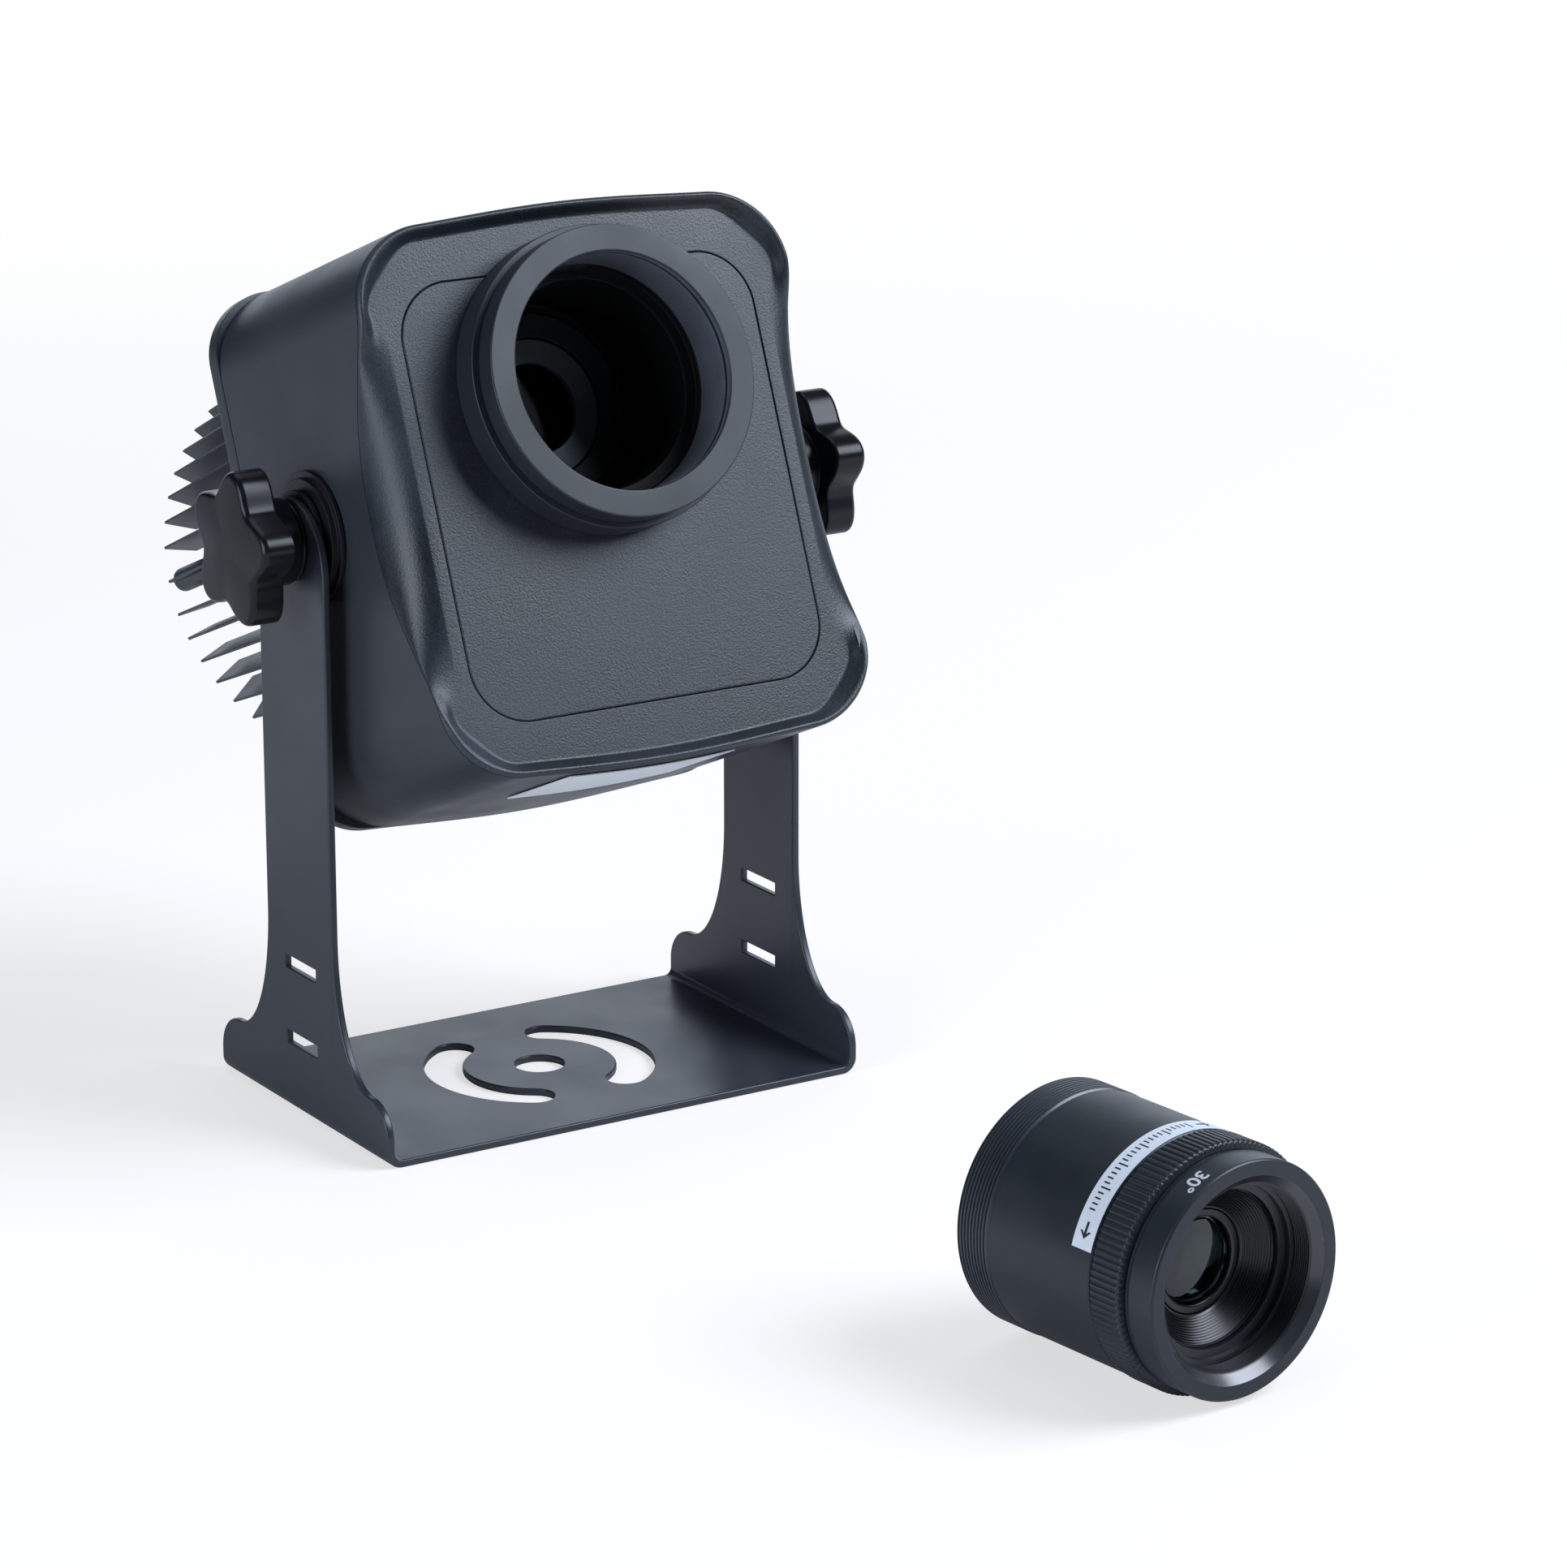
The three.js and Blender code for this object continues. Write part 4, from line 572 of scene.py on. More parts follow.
    def marked(self, number: int, chosen: Callable[[bmesh.types.BMFace, float, float], bool]) -> Shape:
        """Gives some faces another of the piece's finishes.

        Args:
            number: the finish's number.
            chosen: whether a face gets it, from the face, its radius and its depth.

        Returns:
            This shape.
        """
        for face in self.mesh.faces:
            middle = face.calc_center_median()
            if chosen(face, math.hypot(middle.x, middle.z), middle.y):
                face.material_index = number
        return self

    def piece(self, name: str, body: str, slot: str, finishes: Sequence[Surface], place: Place,
              *stands_for: str, sharp: float = 40) -> bpy.types.Object:
        """Turns the shape into a piece of the projector.

        Args:
            name: the piece's name.
            body: the body that it moves with.
            slot: the record's material slot; it is not used.
            finishes: its finishes, in the order of the faces' material numbers.
            place: the frame that it was drawn in.
            stands_for: the solids that it replaces.
            sharp: the least angle of an edge that stays sharp, in degrees.

        Returns:
            The piece's object.
        """
        self.moved(Matrix.Scale(MM, 4) @ place.matrix())
        mesh = bpy.data.meshes.new(name)
        self.mesh.to_mesh(mesh)
        self.mesh.free()
        for finish in finishes:
            mesh.materials.append(finish.material())
        mesh.polygons.foreach_set("use_smooth", [True] * len(mesh.polygons))
        mesh.set_sharp_from_angle(angle=math.radians(sharp))
        made = bpy.data.objects.new(name, mesh)
        bpy.context.scene.collection.objects.link(made)
        made.modifiers.new("even_shading", "WEIGHTED_NORMAL").keep_sharp = True
        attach(made, body)
        if stands_for:
            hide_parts(*stands_for)
        LOG.info("%s: %d faces, on %s", name, len(mesh.polygons), body)
        return made


def shape_of(curve: bpy.types.Curve) -> Shape:
    """Turns a flat curve or a text into a closed shape.

    Args:
        curve: the curve, which is removed.

    Returns:
        The shape.
    """
    spare = bpy.data.objects.new("spare", curve)
    bpy.context.scene.collection.objects.link(spare)
    bpy.context.view_layer.update()
    mesh = bpy.data.meshes.new_from_object(spare.evaluated_get(bpy.context.evaluated_depsgraph_get()))
    shape = Shape()
    shape.mesh.from_mesh(mesh)
    bpy.data.objects.remove(spare)
    bpy.data.meshes.remove(mesh)
    return shape.cleaned()


def flat_shape(outlines: Sequence[Sequence[Point]], low: float, high: float, edge: float) -> Shape:
    """A plate in X and Y with holes and rounded edges.

    Args:
        outlines: the outer outline and those of the holes.
        low: the underside's height.
        high: the top's height.
        edge: the radius of its edges.

    Returns:
        The plate.
    """
    curve = bpy.data.curves.new("outline", "CURVE")
    curve.dimensions = "2D"
    curve.fill_mode = "BOTH"
    curve.extrude = (high - low) / 2 - edge
    curve.bevel_depth = edge
    curve.bevel_resolution = 2
    curve.offset = -edge
    for outline in outlines:
        spline = curve.splines.new("POLY")
        spline.points.add(len(outline) - 1)
        spline.points.foreach_set("co", [value for x, y in outline for value in (x, y, 0, 1)])
        spline.use_cyclic_u = True
    return shape_of(curve).moved(Matrix.Translation((0, 0, (low + high) / 2)))


@dataclass
class Yoke:
    """The folded sheet that carries the head."""

    width: float = 138
    depth: float = 90
    sheet: float = 2
    bend_radius: float = 4
    strap: float = 34.5
    strap_top_drop: float = 6.5
    shoulder_radius: float = 9.7
    shoulder_height: float = 16.3
    neck_height: float = 35.7
    bolt_radius: float = 6.5
    slot_radius: float = 25
    slot_width: float = 10
    slot_half_angle: float = math.radians(57.5)
    arm_slot: Point = (16.2, 3.2)
    arm_slot_heights: Point = (20.1, 40.2)
    stud_hole: float = 4.4
    edge: float = 0.5
    fold_steps: int = 10
    arc_steps: int = 32
    neck_steps: int = 30
    shoulder_steps: int = 20
    tip_steps: int = 12

    @property
    def bend(self) -> Point:
        """Where the bend starts in the flat sheet, and how long it is there."""
        return self.width / 2 - self.bend_radius, (self.bend_radius - self.sheet / 2) * math.pi / 2

    def flat_place(self, height: float) -> float:
        """How far out a height on the arm lies in the flat sheet."""
        start, length = self.bend
        return start + length + height - self.bend_radius

    def outline(self) -> list[Point]:
        """The flat sheet's outer edge.

        Returns:
            The points of its outline.
        """
        half, strap, top = self.depth / 2, self.strap / 2, TILT_AXIS_HEIGHT - self.strap_top_drop
        shoulder = (half - self.shoulder_radius, self.shoulder_height - self.shoulder_radius)
        neck = (shoulder[0], self.shoulder_height + self.neck_height)
        side = [
            *arc(shoulder, (self.shoulder_radius,) * 2, 0, QUARTER, self.shoulder_steps),
            *arc(neck, (shoulder[0] - strap, self.neck_height), 1.5 * math.pi, math.pi, self.neck_steps)[1:],
            *arc((0.0, top), (strap, strap), 0, math.pi, 2 * self.arc_steps),
        ]
        rising = [(self.flat_place(z), y) for y, z in side]
        falling = [(self.flat_place(z), -y) for y, z in reversed(side) if z < top]
        right = [*rising, *falling]
        return [*[(x, -y) for x, y in right], *[(-x, y) for x, y in right]]

    def ring_slot(self, turn: float) -> list[Point]:
        """One curved slot beside the bolt hole.

        Args:
            turn: the angle of its middle, in radians.

        Returns:
            The points of its outline.
        """
        end = self.slot_width / 2
        low, high = turn - self.slot_half_angle, turn + self.slot_half_angle
        outer, inner = self.slot_radius + end, self.slot_radius - end

        def tip(angle: float, start: float) -> list[Point]:
            """Half a circle that closes one end of the slot."""
            middle = (self.slot_radius * math.cos(angle), self.slot_radius * math.sin(angle))
            return arc(middle, (end, end), start, start + math.pi, self.tip_steps)[1:-1]

        return [
            *arc((0, 0), (outer, outer), low, high, self.arc_steps), *tip(high, high),
            *arc((0, 0), (inner, inner), high, low, self.arc_steps), *tip(low, low + math.pi),
        ]

    def holes(self) -> list[list[Point]]:
        """Every hole of the flat sheet.

        Returns:
            The outlines of the holes.
        """
        made = [circle((0, 0), self.bolt_radius, 2 * self.arc_steps), self.ring_slot(0), self.ring_slot(math.pi)]
        half, high = self.arm_slot[0] / 2, self.arm_slot[1] / 2
        for way in (-1, 1):
            made.append(circle((way * self.flat_place(TILT_AXIS_HEIGHT), 0.0), self.stud_hole, self.arc_steps))
            for height in self.arm_slot_heights:
                x = way * self.flat_place(height)
                made.append([(x - high, -half), (x + high, -half), (x + high, half), (x - high, half)])
        return made

    def folded(self, point: Vector) -> Vector:
        """Where a point of the flat sheet goes when the arms are folded up.

        Args:
            point: the point, with its height above the sheet's middle.

        Returns:
            The point on the folded sheet.
        """
        start, length = self.bend
        middle = self.bend_radius - self.sheet / 2
        way, out, rise = math.copysign(1, point.x), abs(point.x), point.z
        if out <= start:
            return Vector((point.x, point.y, self.sheet / 2 + rise))
        if out <= start + length:
            angle = (out - start) / middle
            radius = middle - rise
            return Vector((way * (start + radius * math.sin(angle)), point.y,
                           self.bend_radius - radius * math.cos(angle)))
        return Vector((way * (start + middle - rise), point.y, self.bend_radius + out - start - length))

    def build(self) -> None:
        """Cuts the sheet, folds it and paints it."""
        half = self.sheet / 2
        start, length = self.bend
        folds = [start + length * i / self.fold_steps for i in range(self.fold_steps + 1)]
        sheet = flat_shape([self.outline(), *self.holes()], -half, half, self.edge)
        sheet.cut([*folds, *[-fold for fold in folds]])
        for corner in sheet.mesh.verts:
            corner.co = self.folded(corner.co)
        bmesh.ops.recalc_face_normals(sheet.mesh, faces=sheet.mesh.faces)
        sheet.piece("yoke_sheet", "yoke", "yoke_paint", [Look.yoke], Place.BASE, "yoke_bracket", sharp=50)


@dataclass(frozen=True)
class Station:
    """A place on the head's outline: where it is, which way is out, and how much it is a corner."""

    x: float
    z: float
    out_x: float
    out_z: float
    corner: float


@dataclass
class HeadShell:
    """The sleeve, the front cover with its sculpted lip, the inset panel and the rear cover."""

    width: float = 125
    height: float = 138.2
    crown: float = 2.4
    corner: float = 21
    rear_corner: float = 16.5
    drop: float = 2
    taper: float = 1.3
    back: float = 32.4
    wall: float = 2
    face: float = -43
    plate: float = 3.4
    lip: float = 3
    lip_inset: float = 2.3
    lip_share: float = 0.4
    lip_steps: int = 25
    seam_behind: float = 1.4
    seam_ledge: float = 5
    face_inset: float = 6
    corner_face_inset: float = 2.6
    fall: float = 0.78
    dip_depth: float = 14.3
    dip_half: float = 50
    dip_face_inset: float = 3.0
    dip_flatness: float = 2.4
    dip_fade: float = 1.6
    roll_drop: float = 5
    roll_starts: float = 54
    roll_full: float = 40
    roll_turn: float = math.radians(74)
    gap: float = 0.3
    edge: float = 0.3
    groove: float = 0.14
    panel_half: float = 49.9
    panel_top: float = 52
    panel_bottom: float = -57
    panel_corner: float = 14.7
    panel_thickness: float = 1.6
    panel_edge: float = 0.4
    hole: float = 30.9
    hole_steps: int = 180
    corner_steps: int = 24
    top_steps: int = 36
    side_steps: int = 64
    stations: list[Station] = field(default_factory=list)
    rear_stations: list[Station] = field(default_factory=list)

    def __post_init__(self) -> None:
        """Walks round the two outlines once."""
        self.stations = self._walk(self.corner)
        self.rear_stations = self._walk(self.rear_corner)

    def _walk(self, corner: float) -> list[Station]:
        """Walks round an outline.

        Args:
            corner: the radius of its corners.

        Returns:
            Its stations, equally many for every radius.
        """
        made: list[Station] = []
        straight_x, straight_z = self.width / 2 - corner, self.height / 2 - corner
        for quarter in range(4):
            way_x = 1 if quarter in (0, 3) else -1
            way_z = 1 if quarter < 2 else -1
            for i in range(self.corner_steps + 1):
                turn = i / self.corner_steps
                angle = (quarter + turn) * math.pi / 2
                made.append(self._stand(way_x * straight_x + corner * math.cos(angle),
                                        way_z * straight_z + corner * math.sin(angle), angle,
                                        math.sin(turn * math.pi) ** 2))
            across = quarter % 2 == 0
            steps = self.top_steps if across else self.side_steps
            angle = (quarter + 1) * math.pi / 2
            for i in range(1, steps):
                way = 1 - 2 * i / steps
                x = way_x * straight_x * way if across else way_x * self.width / 2
                z = way_z * self.height / 2 if across else way_z * straight_z * way
                made.append(self._stand(x, z, angle, 0))
        return made

    def _stand(self, x: float, z: float, angle: float, corner: float) -> Station:
        """Makes one station."""
        bulge = self.crown * math.cos(math.pi * x / self.width) ** 2
        return Station(x, z + math.copysign(bulge, z) - self.drop, math.cos(angle), math.sin(angle), corner)

    def taper_at(self, depth: float) -> float:
        """How far the shell has drawn in at a depth."""
        return self.taper * (self.back - depth) / (self.back - self.face + self.lip)

    def dip(self, station: Station) -> float:
        """0 where the lip stands full, 1 in the middle of each side."""
        away = min(1.0, abs(station.z + self.drop) / self.dip_half)
        return (1 - away ** self.dip_flatness) ** self.dip_fade

    def seam(self, station: Station) -> float:
        """The depth of the seam between cover and sleeve."""
        return self.face - self.lip + self.seam_behind + self.dip_depth * self.dip(station)

    def ring(self, inset: Measure, depth: Measure, stations: Sequence[Station] = ()) -> list[Vector]:
        """One outline of the shell.

        Args:
            inset: how far each station draws in.
            depth: how deep it lies.
            stations: the outline to follow, the sleeve's where none is given.

        Returns:
            The outline's points.
        """
        return [Vector((s.x - s.out_x * at(inset, s), at(depth, s), s.z - s.out_z * at(inset, s)))
                for s in stations or self.stations]

    def sleeve(self) -> None:
        """The smooth side skin."""
        def front(s: Station) -> float:
            """The depth of the skin's front edge."""
            return self.seam(s) + self.gap

        def inset(s: Station) -> float:
            """How far the skin has drawn in at its front edge."""
            return self.taper_at(front(s))

        rings = [self.ring(inset, front)]
        for share in (0.02, 0.25, 0.5, 0.75, 0.98):
            rings.append(self.ring(lambda s, k=share: inset(s) * (1 - k),
                                   lambda s, k=share: front(s) + (self.back - front(s)) * k))
        for drawn, ahead in ((0, self.edge), (self.edge * 0.3, self.edge * 0.3), (self.edge, 0), (self.wall, 0)):
            rings.append(self.ring(drawn, self.back - ahead))
        rings.append(self.ring(lambda s: inset(s) + self.wall, front))
        Shape().swept(rings, True).piece(
            "sleeve_skin", "head", "satin_paint", [Look.sleeve], Place.HEAD, "housing_sleeve", sharp=50,
        )

    def rolled(self, station: Station) -> float:
        """How much of the cover's section is a roll over the side.

        Args:
            station: the station of the outline.

        Returns:
            0 where the cover has its raised rim, 1 where it rolls.
        """
        share = (self.roll_starts - abs(station.z + self.roll_drop)) / (self.roll_starts - self.roll_full)
        share = min(1.0, max(0.0, share))
        return share * share * (3 - 2 * share)

    def section(self, station: Station, share: float) -> Point:
        """One point of the front cover's outside.

        Args:
            station: the station of the outline.
            share: 0 at the seam, 1 at the flat face.

        Returns:
            How far the point draws in, and its depth.
        """
        seam, crest = self.seam(station), self.face - self.lip
        start = self.taper_at(seam)
        rolled = self.rolled(station)
        foot = self.face_inset + self.dip_face_inset * rolled + self.corner_face_inset * station.corner
        if share < self.lip_share:
            turn = share / self.lip_share * math.pi / 2
            rim = (start + (self.lip_inset - start) * (1 - math.cos(turn)), seam + (crest - seam) * math.sin(turn))
        else:
            way = (share - self.lip_share) / (1 - self.lip_share)
            down = (1 - math.cos(min(1, way / self.fall) * math.pi)) / 2
            rim = (self.lip_inset + (foot - self.lip_inset) * way, crest + (self.face - crest) * down)
        turn = share * self.roll_turn
        roll = (start + (foot - start) * (1 - math.cos(turn)) / (1 - math.cos(self.roll_turn)),
                seam + (self.face - seam) * math.sin(turn) / math.sin(self.roll_turn))
        return (rim[0] + (roll[0] - rim[0]) * rolled, rim[1] + (roll[1] - rim[1]) * rolled)

    def lip_rings(self) -> list[list[Vector]]:
        """The outside of the front cover, from its seam over rim or roll to the face."""
        shares = [i / self.lip_steps for i in range(self.lip_steps + 1)]
        return [self.ring(lambda s, k=k: self.section(s, k)[0], lambda s, k=k: self.section(s, k)[1]) for k in shares]

    def rounded(self, extra: float) -> list[Point]:
        """The panel's outline, grown by a margin.

        Args:
            extra: the margin.

        Returns:
            The points of the outline.
        """
        half, radius = self.panel_half + extra, self.panel_corner + extra
        low, high = self.panel_bottom - extra, self.panel_top + extra
        made: list[Point] = []
        for i, (x, z) in enumerate(((half, high), (-half, high), (-half, low), (half, low))):
            centre = (x - math.copysign(radius, x), z - math.copysign(radius, z))
            made += arc(centre, (radius, radius), i * math.pi / 2, (i + 1) * math.pi / 2, self.corner_steps)
        return made

    def around(self, outline: Sequence[Point], depth: float) -> list[Vector]:
        """Points of an outline in the directions of the shell's stations.

        Args:
            outline: a closed outline round the middle of the face.
            depth: the depth that the points lie at.

        Returns:
            One point for each station.
        """
        loop = sorted((math.atan2(z, x) % FULL, x, z) for x, z in outline)
        angles = [angle for angle, _, _ in loop]
        made = []
        for s in self.stations:
            turn = math.atan2(s.z, s.x) % FULL
            i = bisect_right(angles, turn) % len(loop)
            a, b = Vector(loop[i - 1][1:]), Vector(loop[i][1:])
            way = Vector((math.cos(turn), math.sin(turn)))
            side = b - a
            reach = a.cross(side) / way.cross(side) if abs(way.cross(side)) > 1e-9 else a.length
            point = way * reach
            made.append(Vector((point.x, depth, point.y)))
        return made

    def front_cover(self) -> None:
        """The sandy cover with its raised corners and dipped sides."""
        def ledge(s: Station) -> float:
            """How far in the cover's hidden ledge lies."""
            return self.taper_at(self.seam(s)) + self.wall + self.gap

        back = self.face + self.plate
        pocket = self.face + self.panel_thickness + self.gap
        hole = circle((0, COLLAR_RISE), self.hole, self.hole_steps)
        rings = [
            *self.lip_rings(),
            *[self.around(self.rounded(self.groove + extra), depth) for extra, depth in (
                (0.3, self.face), (0.09, self.face + 0.09), (0, self.face + 0.3), (0, pocket))],
            self.around(hole, pocket),
            self.around(hole, back),
            self.ring(lambda s: ledge(s) + 2 * self.wall, back),
            self.ring(lambda s: ledge(s) + self.wall, lambda s: max(self.seam(s) + self.seam_ledge, back)),
            self.ring(ledge, lambda s: self.seam(s) + self.seam_ledge),
            self.ring(ledge, self.seam),
        ]
        Shape().swept(rings, True).piece(
            "front_cover_skin", "head", "sandy_paint", [Look.sandy], Place.HEAD, "front_cover", sharp=55,
        )

    def panel(self) -> None:
        """The inset panel round the collar."""
        hole = circle((0, COLLAR_RISE), self.hole, 120)
        plate = flat_shape([self.rounded(0), hole], -self.panel_thickness, 0, self.panel_edge)
        plate.moved(Matrix.Translation((0, self.face, 0)) @ Matrix.Rotation(QUARTER, 4, "X"))
        plate.piece("front_panel_plate", "head", "sandy_paint", [Look.sandy], Place.HEAD, "front_panel", sharp=50)

    def rear_cover(self) -> None:
        """The rear cover with its rounded rim."""
        rim, back, edge, ledge = 32.7, 38.5, 1.5, self.wall + self.gap
        turns = [i / 6 * math.pi / 2 for i in range(7)]
        inner = [(ledge + 2, back - 2.5), (ledge + 2, rim - 5), (ledge, rim - 5), (ledge, rim)]
        outer = [(0.4, rim), (0.1, rim + 0.1), (0, rim + 0.4),
                 *[(edge * (1 - math.cos(t)), back - edge * (1 - math.sin(t))) for t in turns], (14, back)]
        rings = [*[self.ring(*row) for row in inner], *[self.ring(*row, self.rear_stations) for row in outer]]
        Shape().swept(rings, False).piece(
            "rear_cover_shell", "head", "satin_paint", [Look.sleeve], Place.HEAD, "rear_cover", sharp=50,
        )

    def build(self) -> None:
        """Builds the four shells."""
        self.sleeve()
        self.front_cover()
        self.panel()
        self.rear_cover()


@dataclass
class Socket:
    """The collar on the front and the tube behind it."""

    flange: float = 38
    ring_radius: float = 36.45
    bore: float = 29.7
    front: float = -58.9
    shoulder: float = -52.3
    groove_front: float = -56.9
    groove_back: float = -56.1
    back: float = -44

    def collar_ring(self) -> None:
        """The front ring with a snap groove and a grainy bore."""
        outer = [(34, self.back), (34, self.shoulder), (self.ring_radius, self.shoulder),
                 (self.ring_radius, self.front), (self.bore, self.front)]
        deep = self.bore + 0.8
        groove = [(self.bore, self.groove_front), (deep, self.groove_front), (deep, self.groove_back)]
        inner = [(self.bore, self.groove_back), (self.bore - 0.2, -55.4), (self.bore, -54.8), (self.bore, self.back)]
        shape = Shape().turned([*eased([*outer, *groove], 0.45), *inner])
        shape.marked(1, lambda _, radius, depth: radius < self.bore + 0.9 and depth > self.front + 0.6)
        shape.piece("collar_front_ring", "head", "black_anodised", [Look.collar, Look.bore], Place.OPTICS,
                    "collar_ring")

    def build(self) -> None:
        """Builds the collar, the tube and the gobo with its holder and the ring that traps it."""
        tube = [
            (29.7, -43.7), (30.6, -43.7), (30.6, -39.3), (36, -39.3), (36, -36.8), (28.6, -36.8), (28.6, -9.4),
            (24.3, -9.4), (24.3, -11.4), (26.6, -11.4), (26.6, -41.3), (29.7, -41.3),
        ]
        holder = [(18, -12.8), (24, -12.8), (24, -9.1), (27.5, -9.1), (27.5, -6.6), (14.5, -6.6), (14.5, -8), (18, -8)]
        Shape().turned(hoop(34.3, self.flange, -52, -43.3), 0.35).piece(
            "collar_flange_ring", "head", "black_anodised", [Look.collar], Place.OPTICS, "collar_flange",
        )
        self.collar_ring()
        for name, node, slot, finish, outline, ease in (
            ("socket_tube_wall", "lens_socket_tube", "black_anodised", Look.tube, tube, 0.3),
            ("gobo_holder_cup", "gobo_holder", "dark_anodised", Look.holder, holder, 0.3),
            ("gobo_ring_turned", "gobo_retaining_ring", "dark_anodised", Look.gobo_ring,
             hoop(11.6, 17.7, -11.5, -9.7), 0.2),
            ("gobo_clear_disc", "gobo_glass", "lens_glass", Look.clear, hoop(0, 17.6, -9.4, -8.3), 0.15),
        ):
            Shape().turned(outline, ease).piece(name, "head", slot, [finish], Place.OPTICS, node)


@dataclass
class HeatSink:
    """The round finned sink at the back."""

    rise: float = 5.6
    front: float = 38.8
    back: float = 101.8
    front_radius: float = 59
    back_radius: float = 55.2
    hub: float = 20
    recess: float = 46
    recess_depth: float = 24
    boss_angle: float = math.radians(9.4)
    fins_per_quarter: int = 11
    root: float = 1.7
    tip: float = 0.7
    boss_place: float = 50.6
    boss_steps: int = 24

    def fin(self) -> Shape:
        """One blade, thinner towards its tip.

        Returns:
            The blade, flat in X and Y.
        """
        floor, foot = self.back - self.recess_depth, self.hub - 0.2
        outline = [(foot, self.front), (self.front_radius, self.front), (self.back_radius, self.back),
                   (self.recess, self.back), (self.recess, floor), (foot, floor)]
        blade = flat_shape([outline], -self.root / 2, self.root / 2, 0.25)
        thinning = 1 - self.tip / self.root
        for corner in blade.mesh.verts:
            out = (corner.co.x - self.hub) / (self.front_radius - self.hub)
            corner.co.z *= 1 - thinning * out
        return blade

    def build(self) -> None:
        """Gathers the fins round the hub and adds the pedestal and the bosses."""
        front, back, floor = self.front, self.back, self.back - self.recess_depth
        body = Shape().turned([(0, front), (44, front), (44, 43.8), (self.hub, 43.8), (self.hub, floor), (0, floor)],
                              0.5)
        blade = self.fin()
        pitch = (math.pi / 2 - 2 * self.boss_angle) / (self.fins_per_quarter - 1)
        boss = Shape().turned([(1.3, back - 8), (0, back - 8), (0, front), (3.2, front), (3.2, back), (1.3, back)],
                              0.25, self.boss_steps)
        for quarter in range(4):
            base = quarter * math.pi / 2
            for turn in [base, *[base + self.boss_angle + i * pitch for i in range(self.fins_per_quarter)]]:
                body.added(blade, Matrix.Rotation(turn, 4, "Y"))
            body.added(boss, Matrix.Rotation(base, 4, "Y") @ Matrix.Translation((self.boss_place, 0, 0)))
        body.moved(Matrix.Translation((0, 0, self.rise)))
        pedestal = Shape().turned([(0, 18), (21.7, 18), (22, 18.3), (22, 39), (0, 39)], 0, SMALL_STEPS)
        body.added(pedestal, Matrix.Translation((0, 0, COLLAR_RISE)))
        body.piece("heat_sink_fins", "head", "dark_anodised", [Look.sink], Place.HEAD, "heat_sink", sharp=45)


